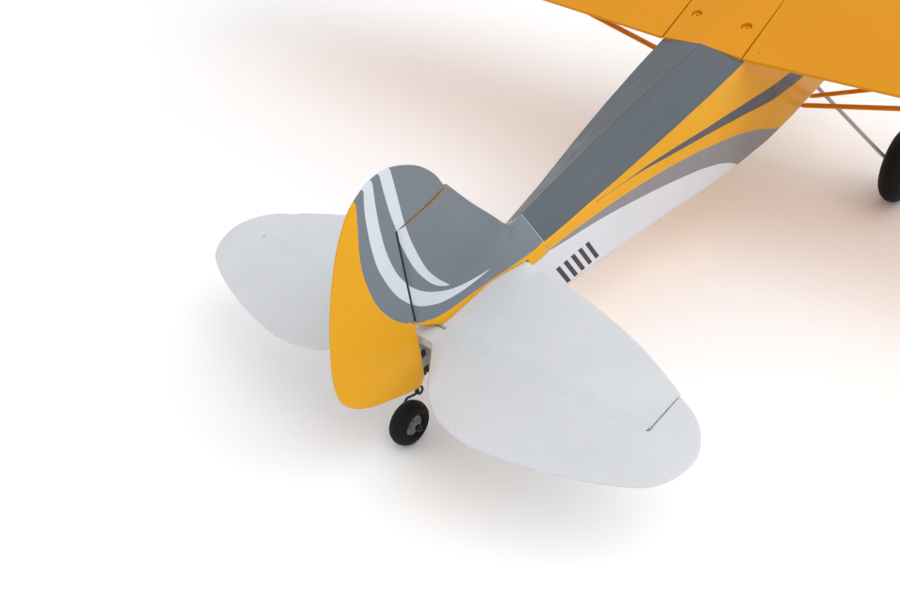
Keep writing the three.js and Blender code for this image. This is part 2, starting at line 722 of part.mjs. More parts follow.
// Streamlined strut from the belly to the underside of a panel.
function strut(lower, upper) {
  const [from, to] = vertices([lower, upper]);
  const run = to.clone().sub(from).normalize();
  const chordwise = new THREE.Vector3(1, 0, 0).addScaledVector(run, -run.x).normalize();
  const thick = new THREE.Vector3().crossVectors(run, chordwise);
  return loft([from, to].map((end) => Array.from({ length: 10 }, (_, k) => {
    const turn = (k / 10) * 2 * Math.PI;
    return end.clone()
      .addScaledVector(chordwise, 3.6 * Math.cos(turn))
      .addScaledVector(thick, 1.8 * Math.sin(turn));
  })));
}

// ---- power and radio ----------------------------------------------------------------------
function motorStator() {
  const bore = SHAFT_RADIUS + GAP;
  const profile = [
    [bore, 691.4], [18, 691.4], [18, 694], [13, 696], [13, 715.5], [11, 715.5], [11, 737], [bore, 737],
    [bore, 691.4],
  ];
  return turned(profile, "x", 16);
}

function motorBell() {
  const profile = [
    [0, 718], [SHAFT_RADIUS, 718], [SHAFT_RADIUS, 738.5], [12.2, 738.5], [12.2, 717], [14, 717], [14, 740],
    [11, 742.5], [4, 742.5], [4, 746], [SHAFT_RADIUS, 746], [SHAFT_RADIUS, 768], [0, 768],
  ];
  return turned(profile, "x", 16);
}

function bladeRing(radius, chord, thickness) {
  const pitch = Math.min(Math.atan2(24, radius), 0.85);
  const lens = [[-0.5, 0], [-0.2, 0.42], [0.2, 0.5], [0.5, 0], [0.2, -0.4], [-0.2, -0.3]];
  return vertices(lens.map(([u, v]) => {
    const [along, through] = [u * chord, v * thickness];
    return [
      PROP_X + along * Math.sin(pitch) + through * Math.cos(pitch),
      along * Math.cos(pitch) - through * Math.sin(pitch),
      radius,
    ];
  }));
}

function propeller() {
  // radius, chord and thickness along a blade
  const shape = [
    [2, 8, 5], [9, 11, 5], [25, 17, 3.4], [50, 21, 2.8], [80, 19, 2.2], [104, 13, 1.7], [PROP_RADIUS, 4, 1.2],
  ];
  const blade = loft(shape.map(([radius, chord, thickness]) => bladeRing(radius, chord, thickness)));
  const boss = rod(8, 8, "x", 20).translate(PROP_X, 0, 0);
  const opposite = blade.clone().rotateX(Math.PI);
  const bore = rod(SHAFT_RADIUS + GAP, 30, "x", 12).translate(PROP_X, 0, 0);
  return cut(join(boss, blade, opposite), bore).translate(0, 0, THRUST_Z);
}

function spinner() {
  const bore = SHAFT_RADIUS + GAP;
  const base = PROP_X + 4 + GAP;
  const nose = [[17, 0], [17, 2], [15, 9], [11.5, 15.5], [6.5, 21], [0, 24]];
  const profile = [[0, 12], [bore, 12], [bore, 0], ...nose];
  const bladeNotch = box(base - 1, base + 4, -7.5, 7.5, -20, 20);
  return cut(turned(profile.map(([radius, along]) => [radius, base + along]), "x", 24), bladeNotch);
}

// Servo with its output boss at the origin, pointing up.
function servo() {
  const body = box(-17, 6, -6, 6, -24, -2.5);
  const ears = box(-22, 11, -6, 6, -8.5, -6.5);
  const boss = rod(5, 3, "z", 12).translate(0, 0, -1.5);
  return join(body, ears, boss);
}

function servoTray() {
  const plate = box(352, 448, -14, 30, -49, -46.3);
  const riser = box(364, 386, -11, 9, -47, -36.3);
  return join(plate, riser);
}

function servoArm(reach) {
  return armPlate(reach, -4, [-4, 4]);
}

function rudderRod() {
  const [x, y, z] = [RUDDER_HINGE_X, RUDDER_ARM, RUDDER_ROD_Z];
  const route = [[RUDDER_SERVO_X + 3, y, z], [135, 11.5, z], [62, 21, z], [30, y + 0.6, z], [x - 3, y, z]];
  return wire(route, ROD, 3, 6);
}

function elevatorRod() {
  const y = ELEVATOR_HORN_Y + ROD_OFFSET;
  const z = -ELEVATOR_ARM;
  const { x: servoX, z: servoZ } = ELEVATOR_SERVO;
  const bends = [[150, -11, -24], [80, -10.5, -19.5], [36, -21.6, -17.2]];
  const route = [[servoX + 3, y, servoZ + z], ...bends, [-3, y, z]];
  return wire(route, ROD, 3, 6);
}

function aileronRod() {
  const y = AILERON_LINK_Y + ROD_OFFSET;
  const servoEnd = [AILERON_SERVO.x + 3, y, aileronServoHeight() - AILERON_ARM];
  const hornEnd = [HINGE_X - 3, y, rearTop(HINGE_X) - AILERON_ARM];
  return tube(vertices([hornEnd, servoEnd]), ROD, 6);
}

// ---- assembly -----------------------------------------------------------------------------
const YELLOW_FILM = { color: 0xe6a419, roughness: 0.45 };
const GREY_FILM = { color: 0x6c7278, roughness: 0.4 };
const WHITE_FOAM = { color: 0xd9dce0, roughness: 0.7 };
const ORANGE_PLASTIC = { color: 0xd97a12, roughness: 0.5 };
const BLACK_PLASTIC = { color: 0x1c1c1e, roughness: 0.5 };
const GREY_PLASTIC = { color: 0x6e6e70, roughness: 0.5 };
const BLACK_RUBBER = { color: 0x151515, roughness: 0.85 };
const CLEAR = { color: 0x39424a, roughness: 0.1, transparent: true, opacity: 0.5 };
const STEEL = { color: 0x8a8d90, roughness: 0.35, metalness: 1 };
const ALLOY = { color: 0xb9bcc0, roughness: 0.4, metalness: 1 };
const BLUE_WRAP = { color: 0x2b4c86, roughness: 0.4 };
const PLYWOOD = { color: 0xc59f6a, roughness: 0.8 };

const aircraft = new THREE.Group();
const airframe = new THREE.Group();
airframe.rotation.y = -STANCE_PITCH;
aircraft.add(airframe);

function add(name, geometry, finish, place = [0, 0, 0], parent = airframe) {
  const mesh = new THREE.Mesh(geometry, new THREE.MeshStandardMaterial(finish));
  mesh.name = name;
  mesh.position.set(...place);
  parent.add(mesh);
  return mesh;
}

const shell = fuselageShell();
add("fuselage_left", intersect(shell, box(-60, 800, GAP / 2, 90, -200, 90)), YELLOW_FILM);
add("fuselage_right", intersect(shell, box(-60, 800, -90, -GAP / 2, -200, 90)), YELLOW_FILM);
add("top_hatch", hatch(), GREY_FILM);
add("windscreen", windscreen(), CLEAR);
add("cowl", cowl(), YELLOW_FILM);
const glazing = [
  (WINDOW.front - WINDOW.rear) - 2 * GAP,
  (WINDOW.head - WINDOW.sill) - 2 * GAP,
];
for (const [name, side] of [["window_left", 1], ["window_right", -1]]) {
  const pane = roundedBox([glazing[0], glazing[1], 2], 1.5, "y");
  const middle = [(WINDOW.front + WINDOW.rear) / 2, (WINDOW.head + WINDOW.sill) / 2];
  add(name, pane, CLEAR, [middle[0], side * (CABIN_HALF - 2.6), middle[1]]);
}

add("fin", fin(), GREY_FILM);
add("stabilizer", stabilizer(), WHITE_FOAM);
add("elevator", elevator(), WHITE_FOAM);
add("elevator_horn", elevatorHorn(), BLACK_PLASTIC);
add("rudder", rudder(), YELLOW_FILM);
add("rudder_horn", rudderHorn(), BLACK_PLASTIC);
add("rudder_hinge_upper", rudderHinge(-16), BLACK_PLASTIC);
add("rudder_hinge_lower", rudderHinge(-33), BLACK_PLASTIC);

function addWheel(name, wheel, centre) {
  const parts = [["tyre", tyre(wheel), BLACK_RUBBER], ["hub", hub(wheel), GREY_PLASTIC]];
  for (const [part, shape, finish] of parts) {
    const mesh = add(name.replace("*", part), shape, finish, centre);
    mesh.rotation.y = STANCE_PITCH;
  }
}

const tail = tailAxle();
add("tail_wheel_wire", tailWheelWire(), BLACK_PLASTIC);
const collarPlace = [tail.x, -TAIL_WHEEL.width / 2 - 2, tail.z];
add("tail_wheel_collar", collar(2.8, TAIL_WIRE + GAP, 2.6), BLACK_PLASTIC, collarPlace);
addWheel("tail_*", TAIL_WHEEL, [tail.x, 0, tail.z]);

add("main_gear_wire", mainGearWire(), STEEL);
add("main_gear_saddle", gearSaddle(), BLACK_PLASTIC);
const mainAxleZ = axleHeight(MAIN_WHEEL.x, MAIN_WHEEL.radius);
for (const [name, side] of [["left", 1], ["right", -1]]) {
  addWheel(`main_*_${name}`, MAIN_WHEEL, [MAIN_WHEEL.x, side * MAIN_WHEEL.y, mainAxleZ]);
}

// The joiner tube runs straight through the centre section into both panels.
const sparPlace = [SPAR_X, 0, 44.5];
const sparBore = rod(SPAR_RADIUS + GAP, 2 * SPAR_HALF + 2, "y", 12).translate(...sparPlace);
add("wing_joiner_tube", rod(SPAR_RADIUS, 2 * SPAR_HALF, "y", 12), BLACK_PLASTIC, sparPlace);
add("wing_centre", wingCentre(sparBore), YELLOW_FILM);

const portFrame = new THREE.Group();
portFrame.position.set(0, WING_ROOT_Y, WING_TE_Z);
portFrame.rotation.x = DIHEDRAL;
portFrame.updateMatrix();
const dropped = new THREE.Matrix4().makeTranslation(0, 0, WING_TE_Z);
const boreInPanel = sparBore.clone().applyMatrix4(dropped.multiply(portFrame.matrix.clone().invert()));
const panelShape = wingPanel(boreInPanel);

for (const [name, side] of [["left", 1], ["right", -1]]) {
  add(`wing_bolt_${name}`, wingBolt(), ORANGE_PLASTIC, [WING_BOLT.x, side * WING_BOLT.y, BOLT_SEAT_Z]);
  const wing = new THREE.Group();
  wing.position.set(0, side * WING_ROOT_Y, WING_TE_Z);
  wing.rotation.x = side * DIHEDRAL;
  airframe.add(wing);
  const level = [0, 0, -WING_TE_Z];
  add(`wing_${name}`, mirrored(panelShape, side), YELLOW_FILM, level, wing);
  add(`aileron_${name}`, mirrored(aileron(), side), YELLOW_FILM, level, wing);
  add(`aileron_horn_${name}`, mirrored(aileronHorn(), side), BLACK_PLASTIC, level, wing);
  add(`aileron_rod_${name}`, mirrored(aileronRod(), side), STEEL, level, wing);
  const servoPlace = [AILERON_SERVO.x, side * AILERON_SERVO.y, aileronServoHeight() - WING_TE_Z];
  const aileronServo = servo().rotateX(-Math.PI / 2);
  add(`aileron_servo_${name}`, mirrored(aileronServo, side), BLACK_PLASTIC, servoPlace, wing);
  const arm = servoArm(AILERON_ARM).rotateX(-Math.PI / 2).translate(0, GAP + PLATE / 2, 0);
  add(`aileron_servo_arm_${name}`, mirrored(arm, side), WHITE_FOAM, servoPlace, wing);
  const rearStrut = strut([490, 46.5, -88], [430, 359, 38]);
  const frontStrut = strut([508, 46.5, -88], [525, 359, 41.5]);
  add(`strut_rear_${name}`, mirrored(rearStrut, side), ORANGE_PLASTIC);
  add(`strut_front_${name}`, mirrored(frontStrut, side), ORANGE_PLASTIC);
}

add("servo_tray", servoTray(), PLYWOOD);
const rudderArmZ = RUDDER_ROD_Z - ROD_OFFSET;
add("rudder_servo", servo(), BLACK_PLASTIC, [RUDDER_SERVO_X, 0, rudderArmZ - PLATE / 2 - GAP]);
add("rudder_servo_arm", servoArm(RUDDER_ARM), WHITE_FOAM, [RUDDER_SERVO_X, 0, rudderArmZ]);
add("rudder_rod", rudderRod(), STEEL);
const elevatorServoPlace = [ELEVATOR_SERVO.x, ELEVATOR_HORN_Y + PLATE / 2 + GAP, ELEVATOR_SERVO.z];
add("elevator_servo", servo().rotateX(Math.PI / 2), BLACK_PLASTIC, elevatorServoPlace);
const elevatorArm = servoArm(ELEVATOR_ARM).rotateX(-Math.PI / 2);
add("elevator_servo_arm", elevatorArm, WHITE_FOAM, [ELEVATOR_SERVO.x, ELEVATOR_HORN_Y, ELEVATOR_SERVO.z]);
add("elevator_rod", elevatorRod(), STEEL);

add("firewall", roundedBox([50, 56, 4], 8, "x"), PLYWOOD, [689, 0, -48]);
add("battery", roundedBox([34, 26, 105], 4, "x"), BLUE_WRAP, [618, 0, -63]);
add("speed_controller", roundedBox([50, 26, 9], 3), BLUE_WRAP, [540, 0, -84]);
add("receiver", roundedBox([42, 24, 13], 2), BLACK_PLASTIC, [480, 0, -83]);

for (const [name, shape, finish] of [
  ["motor_stator", motorStator(), ALLOY],
  ["motor_bell", motorBell(), STEEL],
]) {
  add(name, shape, finish, [0, 0, THRUST_Z]);
}
add("propeller", propeller(), BLACK_PLASTIC);
add("spinner", spinner(), YELLOW_FILM, [0, 0, THRUST_Z]);

aircraft.updateMatrixWorld(true);
const bounds = new THREE.Box3().setFromObject(aircraft, true);
airframe.position.set(-(bounds.min.x + bounds.max.x) / 2, 0, -bounds.min.z);

export default aircraft;
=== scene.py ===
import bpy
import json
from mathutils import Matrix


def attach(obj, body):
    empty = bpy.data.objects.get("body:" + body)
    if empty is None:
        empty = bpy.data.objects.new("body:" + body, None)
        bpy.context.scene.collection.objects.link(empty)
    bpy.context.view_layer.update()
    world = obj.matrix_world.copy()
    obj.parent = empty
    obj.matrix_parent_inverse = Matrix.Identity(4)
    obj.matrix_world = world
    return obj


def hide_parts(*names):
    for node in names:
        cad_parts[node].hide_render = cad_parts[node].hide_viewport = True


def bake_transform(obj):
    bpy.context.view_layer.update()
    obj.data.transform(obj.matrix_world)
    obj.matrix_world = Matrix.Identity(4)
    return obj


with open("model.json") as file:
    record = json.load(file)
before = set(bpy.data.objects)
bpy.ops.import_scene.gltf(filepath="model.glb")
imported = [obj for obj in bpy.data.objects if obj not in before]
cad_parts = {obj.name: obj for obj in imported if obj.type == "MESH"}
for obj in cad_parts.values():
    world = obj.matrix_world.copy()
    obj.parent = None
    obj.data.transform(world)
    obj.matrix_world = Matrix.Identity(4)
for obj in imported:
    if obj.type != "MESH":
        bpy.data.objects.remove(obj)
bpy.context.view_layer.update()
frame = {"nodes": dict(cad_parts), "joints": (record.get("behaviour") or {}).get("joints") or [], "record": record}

import json
import math

import bmesh
import bpy
import numpy as np
from mathutils import Matrix, Vector
from mathutils.geometry import delaunay_2d_cdt

# Airframe axes: +X forward, +Y port, +Z up, in millimetres, with the origin on the elevator
# hinge line in the plane of symmetry, as in the CAD source.
MM = 0.001
PITCH = math.radians(11.37)
JOINTS = {joint["name"]: joint for joint in frame["joints"]}
ORIGIN = Vector(JOINTS["elevator_hinge"]["pos_m"])
AIRFRAME = Matrix.Translation(ORIGIN) @ Matrix.Rotation(-PITCH, 4, "Y")

GAP = 0.3
TAIL_HALF = 4.5  # half thickness of the tail surfaces
HINGE_GAP = 0.4
RUDDER_X = -20.0
FIN_TOP = 104.0
BALANCE_FOOT = 104.7  # underside of the rudder's balance, above the fin
WING_TE = 371.0
CHORD = 200.0
INCIDENCE = 0.035
WING_TE_Z = 25.2
EDGE = 2.5
ROOT_Y = 38.4
DIHEDRAL = math.radians(2.5)
JOINER = {"x": 500, "z": 44.5, "radius": 4, "length": 342}
HINGE_X = 411.0
THRUST_Z = -45.0
HINGE_HEIGHT = 91.4  # of the elevator hinge above the floor
PROPELLER = {"x": 754, "boss": 8, "bore": 2.5}
STERN_X = -12.6
FIN_SEAM_X = 110.0


def panel_frame(side):
    """The flat drawing frame of a wing panel, turned up by its dihedral at the root."""
    lift = Matrix.Translation((0, side * ROOT_Y * MM, WING_TE_Z * MM))
    drop = Matrix.Translation((0, 0, -WING_TE_Z * MM))
    return AIRFRAME @ lift @ Matrix.Rotation(side * DIHEDRAL, 4, "X") @ drop


# ---- materials
class Shader:
    """A material and short calls that add nodes to it."""

    def __init__(self, name):
        self.material = bpy.data.materials.new(name)
        self.material.use_nodes = True
        self.tree = self.material.node_tree
        self.tree.nodes.clear()
        self.out = self.tree.nodes.new("ShaderNodeOutputMaterial")
        self.bsdf = self.tree.nodes.new("ShaderNodeBsdfPrincipled")
        self.tree.links.new(self.bsdf.outputs[0], self.out.inputs["Surface"])
        place = self.tree.nodes.new("ShaderNodeTexCoord").outputs["Object"]
        turn = {"Vector": place, "Location": tuple(ORIGIN), "Rotation": (0.0, -PITCH, 0.0)}
        self.coords = self.node("ShaderNodeMapping", turn, vector_type="TEXTURE").outputs[0]

    def put(self, socket, value):
        if isinstance(value, bpy.types.NodeSocket):
            self.tree.links.new(value, socket)
        elif hasattr(socket.default_value, "__len__") and not hasattr(value, "__len__"):
            socket.default_value = [value] * len(socket.default_value)
        else:
            socket.default_value = value

    def set(self, **values):
        for name, value in values.items():
            self.put(self.bsdf.inputs[name.replace("_", " ")], value)

    def node(self, kind, inputs=None, **props):
        made = self.tree.nodes.new(kind)
        for name, value in props.items():
            setattr(made, name, value)
        for key, value in (inputs or {}).items():
            self.put(made.inputs[key], value)
        return made

    def math(self, operation, a, b=0.0):
        return self.node("ShaderNodeMath", {0: a, 1: b}, operation=operation).outputs[0]

    def plus(self, a, b):
        return self.math("ADD", a, b)

    def minus(self, a, b):
        return self.math("SUBTRACT", a, b)

    def times(self, a, b):
        return self.math("MULTIPLY", a, b)

    def noise(self, scale, detail=3.0, rough=0.55, stretch=None):
        place = self.coords
        if stretch:
            place = self.node("ShaderNodeMapping", {"Vector": place, "Scale": stretch}).outputs[0]
        inputs = {"Vector": place, "Scale": scale, "Detail": detail, "Roughness": rough}
        return self.node("ShaderNodeTexNoise", inputs).outputs["Fac"]

    def cells(self, scale, feature="DISTANCE_TO_EDGE"):
        inputs = {"Vector": self.coords, "Scale": scale}
        return self.node("ShaderNodeTexVoronoi", inputs, feature=feature).outputs[0]

    def span(self, value, low, high, to_low=0.0, to_high=1.0):
        inputs = {0: value, 1: low, 2: high, 3: to_low, 4: to_high}
        return self.node("ShaderNodeMapRange", inputs).outputs[0]

    def mix(self, share, a, b):
        made = self.tree.nodes.new("ShaderNodeMix")
        made.data_type = "RGBA"
        self.put(made.inputs[0], share)
        self.put(made.inputs[6], a)
        self.put(made.inputs[7], b)
        return made.outputs[2]

    def bump(self, height, strength, distance):
        inputs = {"Height": height, "Strength": strength, "Distance": distance}
        self.put(self.bsdf.inputs["Normal"], self.node("ShaderNodeBump", inputs).outputs[0])


def colour(r, g, b):
    """Linear colour from display values of 0 to 255."""
    channel = lambda v: v / 255 / 12.92 if v <= 10.3 else ((v / 255 + 0.055) / 1.055) ** 2.4
    return (channel(r), channel(g), channel(b), 1.0)


def darker(value, share):
    return (value[0] * share, value[1] * share, value[2] * share, 1.0)


YELLOW = colour(222, 158, 2)
WING_YELLOW = colour(212, 138, 0)
GREY = colour(112, 120, 128)
ROOF_GREY = colour(85, 92, 98)
DARK_GREY = colour(82, 82, 88)
MID_GREY = colour(132, 131, 134)
STRIPE = colour(202, 210, 218)
WHITE = colour(210, 209, 214)
FOAM = colour(204, 206, 209)
# painted shade: dark ochre standing in for the gap under the rudder's balance
BALANCE_GAP_SHADE = colour(150, 122, 62)
HINGE_SHADE = colour(44, 50, 58)
SEAM = colour(186, 190, 194)
MARK_INK = colour(52, 50, 54)
STERN_POST = colour(150, 146, 142)


def bare_foam(name):
    """Bare moulded bead foam, slightly translucent."""
    shader = Shader(name)
    beads = shader.span(shader.cells(300.0), 0.0, 0.16)
    shade = shader.span(shader.noise(14.0), 0.3, 0.7)
    tone = shader.mix(shade, darker(FOAM, 0.95), darker(FOAM, 1.02))
    # the tone darkens slightly along the bead boundaries, painted shade in the grooves between the beads
    tone = shader.mix(shader.span(beads, 0.0, 1.0, 0.10, 0.0), tone, darker(FOAM, 0.80))
    relief = shader.plus(shader.times(beads, 0.5), shader.times(shader.noise(1500.0), 0.2))
    rough = shader.span(shader.noise(70.0), 0.3, 0.7, 0.46, 0.62)
    shader.set(Base_Color=tone, Roughness=rough, Subsurface_Weight=0.15, Subsurface_Scale=0.004, IOR=1.4)
    shader.bump(relief, 0.3, 0.0004)
    return shader.material


def plastic(name, base, gloss=0.4, grain=900.0):
    """Moulded plastic with a fine grain and a little handling wear."""
    shader = Shader(name)
    worn = shader.span(shader.noise(45.0, 5.0, 0.65), 0.55, 0.8)
    tone = shader.mix(worn, base, darker(base, 1.25))
    rough = shader.span(shader.noise(120.0, 4.0), 0.3, 0.7, gloss - 0.08, gloss + 0.12)
    shader.set(Base_Color=tone, Roughness=rough, IOR=1.5)
    shader.bump(shader.noise(grain, 3.0), 0.25, 0.0002)
    return shader.material


def rubber(name):
    """Foam rubber tyre: matt, with fine pores and dusty wear."""
    shader = Shader(name)
    dust = shader.span(shader.noise(55.0, 6.0, 0.7), 0.5, 0.85)
    tone = shader.mix(dust, colour(5, 5, 5), colour(20, 19, 18))
    pores = shader.span(shader.cells(1300.0), 0.0, 0.25)
    relief = shader.plus(pores, shader.times(shader.noise(400.0), 0.8))
    rough = shader.span(dust, 0.0, 1.0, 0.62, 0.9)
    shader.set(Base_Color=tone, Roughness=rough, IOR=1.3)
    shader.bump(relief, 0.45, 0.0003)
    return shader.material


def metal(name, base, gloss=0.3):
    """Drawn or turned metal with fine streaks along its length."""
    shader = Shader(name)
    streak = shader.noise(30.0, 6.0, 0.6, (1.0, 60.0, 1.0))
    tone = shader.mix(shader.span(streak, 0.3, 0.7), darker(base, 0.8), base)
    rough = shader.span(streak, 0.3, 0.7, gloss, gloss + 0.18)
    shader.set(Base_Color=tone, Roughness=rough, Metallic=1.0)
    shader.bump(streak, 0.1, 0.0001)
    return shader.material


def glazing(name):
    """Thin tinted sheet."""
    shader = Shader(name)
    haze = shader.span(shader.noise(80.0, 4.0), 0.3, 0.8, 0.05, 0.16)
    tone = shader.mix(shader.noise(12.0), colour(120, 130, 138), colour(150, 160, 168))
    shader.set(Base_Color=tone, Roughness=haze, Transmission_Weight=0.75, IOR=1.35)
    shader.set(Coat_Weight=0.4, Coat_Roughness=0.06)
    return shader.material


def ply(name):
    """Birch plywood with stretched grain."""
    shader = Shader(name)
    grain = shader.noise(26.0, 8.0, 0.6, (1.0, 9.0, 9.0))
    tone = shader.mix(shader.span(grain, 0.35, 0.65), colour(176, 138, 92), colour(214, 182, 134))
    shader.set(Base_Color=tone, Roughness=shader.span(grain, 0.3, 0.7, 0.55, 0.75))
    shader.bump(grain, 0.3, 0.0004)
    return shader.material


# ---- mesh helpers
BODY_OF = {node: body for body, nodes in frame["record"]["behaviour"]["bodies"].items() for node in nodes}


def smooth_through(points, steps=8):
    """Points of a smooth open line through the given ones, its ends kept."""
    run = [np.array(p, float) for p in points]
    run = [2 * run[0] - run[1]] + run + [2 * run[-1] - run[-2]]
    line = []
    for k in range(1, len(run) - 2):
        before, here, ahead, beyond = run[k - 1:k + 3]
        for step in range(steps):
            t = step / steps
            line.append(0.5 * (2 * here + (ahead - before) * t
                        + (2 * before - 5 * here + 4 * ahead - beyond) * t * t
                        + (3 * here - before - 3 * ahead + beyond) * t ** 3))
    return line + [run[-2]]


def raw_mesh(name, body):
    """A mesh in metres from a body, which is (vertices in millimetres, faces)."""
    mesh = bpy.data.meshes.new(name)
    mesh.from_pydata([tuple(np.array(v, float) * MM) for v in body[0]], [], body[1])
    return mesh


def weld(mesh):
    """Join coincident vertices and turn all faces outward."""
    shape = bmesh.new()
    shape.from_mesh(mesh)
    bmesh.ops.remove_doubles(shape, verts=shape.verts, dist=2e-6)
    bmesh.ops.recalc_face_normals(shape, faces=shape.faces)
    shape.to_mesh(mesh)
    shape.free()


def add_object(name, data):
    made = bpy.data.objects.new(name, data)
    bpy.context.scene.collection.objects.link(made)
    return made


def lay(name, body, look, nodes, place=AIRFRAME, crease=32.0, bevel=0.0):
    """A piece from a body in airframe millimetres. It stands for its CAD nodes, if it has any."""
    return lay_mesh(name, raw_mesh(name, body), look, nodes, place, crease, bevel)


def lay_mesh(name, mesh, look, nodes, place=AIRFRAME, crease=32.0, bevel=0.0):
    mesh.transform(place)
    weld(mesh)
    piece = add_object(name, mesh)
    mesh.materials.clear()
    mesh.materials.append(LOOK[look])
    if bevel:
        edge = piece.modifiers.new("edge", "BEVEL")
        edge.width = bevel * MM
        edge.segments = 2
        edge.limit_method = "ANGLE"
        edge.angle_limit = math.radians(crease)
    mesh.polygons.foreach_set("use_smooth", [True] * len(mesh.polygons))
    mesh.set_sharp_from_angle(angle=math.radians(crease))
    even = piece.modifiers.new("even", "WEIGHTED_NORMAL")
    even.keep_sharp = True
    if nodes:
        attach(piece, BODY_OF[nodes[0]])
        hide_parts(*nodes)
    return piece


def loft(rings, close_rings=False):
    """Vertices and faces of a skin through rings of equal length, capped unless it closes on itself."""
    total, count = len(rings), len(rings[0])
    faces = []
    for ring in range(total if close_rings else total - 1):
        a, b = ring * count, ((ring + 1) % total) * count
        for k in range(count):
            j = (k + 1) % count
            faces.append((a + k, a + j, b + j, b + k))
    if not close_rings:
        faces.append(tuple(reversed(range(count))))
        faces.append(tuple(range((total - 1) * count, total * count)))
    return [p for ring in rings for p in ring], faces


def on_axis(axis, c, s, along, centre):
    """The point at (c, s) across an axis and `along` it, from a centre."""
    flat = {"x": (along, c, s), "y": (c, along, s), "z": (c, s, along)}[axis]
    return tuple(np.array(flat) + np.array(centre))


def turned(profile, axis, centre=(0, 0, 0), segments=96):
    """Closed body of revolution about an axis, from a closed profile of (radius, along)."""
    rings = []
    for k in range(segments):
        turn = 2 * math.pi * k / segments
        c, s = math.cos(turn), math.sin(turn)
        rings.append([on_axis(axis, radius * c, radius * s, along, centre) for radius, along in profile])
    return loft(rings, close_rings=True)


def tube(points, radius, sides=12):
    """Round wire along points, its rings carried along without twist."""
    points = [Vector(p) for p in points]
    across, rings = None, []
    for k, point in enumerate(points):
        ahead = (points[min(k + 1, len(points) - 1)] - points[max(k - 1, 0)]).normalized()
        if across is None:
            helper = Vector((0, 0, 1)) if abs(ahead.z) < 0.9 else Vector((1, 0, 0))
            across = ahead.cross(helper).normalized()
        across = (across - ahead * across.dot(ahead)).normalized()
        other = ahead.cross(across)
        turns = [2 * math.pi * side / sides for side in range(sides)]
        rings.append([point + radius * (across * math.cos(t) + other * math.sin(t)) for t in turns])
    return loft(rings)


BOX_QUADS = ((0, 1, 3, 2), (4, 6, 7, 5), (0, 4, 5, 1), (2, 3, 7, 6), (0, 2, 6, 4), (1, 5, 7, 3))


def box_mesh(x0, x1, y0, y1, z0, z1):
    verts = [(x, y, z) for x in (x0, x1) for y in (y0, y1) for z in (z0, z1)]
    return verts, list(BOX_QUADS)


def rod_mesh(radius, length, axis, centre, sides=40):
    ring = [(math.cos(2 * math.pi * k / sides), math.sin(2 * math.pi * k / sides)) for k in range(sides)]
    return loft([[on_axis(axis, radius * c, radius * s, end, centre) for c, s in ring]
                 for end in (-length / 2, length / 2)])


def combined(operation, body, others):
    """Mesh of a body with others joined on or cut away."""
    parts = []
    for one in [body] + others:
        mesh = raw_mesh("part", one)
        weld(mesh)
        parts.append(add_object("part", mesh))
    for other in parts[1:]:
        step = parts[0].modifiers.new("step", "BOOLEAN")
        step.operation = operation
        step.solver = "EXACT"
        step.object = other
    bpy.context.view_layer.update()
    graph = bpy.context.evaluated_depsgraph_get()
    result = bpy.data.meshes.new_from_object(parts[0].evaluated_get(graph))
    for part in parts:
        bpy.data.objects.remove(part)
    return result


def mesh_data(mesh):
    """The body of a mesh."""
    return [tuple(v.co / MM) for v in mesh.vertices], [tuple(p.vertices) for p in mesh.polygons]


def mirrored(body, side):
    return [(x, side * y, z) for x, y, z in body[0]], body[1]


def refined(node, look, bevel):
    """A copy of a CAD node with its flat faces merged and its edges rounded."""
    mesh = frame["nodes"][node].data.copy()
    shape = bmesh.new()
    shape.from_mesh(mesh)
    bmesh.ops.remove_doubles(shape, verts=shape.verts, dist=1e-6)
    bmesh.ops.dissolve_limit(shape, angle_limit=math.radians(0.6), verts=shape.verts, edges=shape.edges)
    shape.to_mesh(mesh)
    shape.free()
    return lay_mesh(node + "_skin", mesh, look, [node], Matrix.Identity(4), 30.0, bevel)


# ---- moulded plates
def line_distance(points, a, b):
    """Distance of each point from the segment a to b."""
    run = b - a
    along = np.clip(((points - a) @ run) / max(run @ run, 1e-9), 0, 1)
    return np.linalg.norm(points - a - along[:, None] * run, axis=1)


def edge_distance(points, outline):
    closed = np.vstack([outline, outline[:1]])
    return np.min([line_distance(points, closed[k], closed[k + 1]) for k in range(len(outline))], axis=0)


def inside(points, outline):
    """Whether each point lies within the outline, by counting crossings."""
    count = np.zeros(len(points), int)
    for a, b in zip(outline, np.roll(outline, -1, axis=0)):
        crosses = (a[1] > points[:, 1]) != (b[1] > points[:, 1])
        with np.errstate(divide="ignore", invalid="ignore"):
            at = a[0] + (points[:, 1] - a[1]) * (b[0] - a[0]) / (b[1] - a[1])
        count += crosses & (points[:, 0] < at)
    return count % 2 == 1


RINGS = (0.22, 0.6, 1.1, 1.8, 2.6, 3.5, 4.6, 5.6)  # distances of the mesh rings from the edge


def dense(outline, spacing=2.4):
    """The same outline with no step longer than the spacing."""
    points = []
    for a, b in zip(outline, np.roll(outline, -1, axis=0)):
        steps = max(1, int(np.ceil(np.linalg.norm(b - a) / spacing)))
        points += [a + (b - a) * k / steps for k in range(steps)]
    return np.array(points)


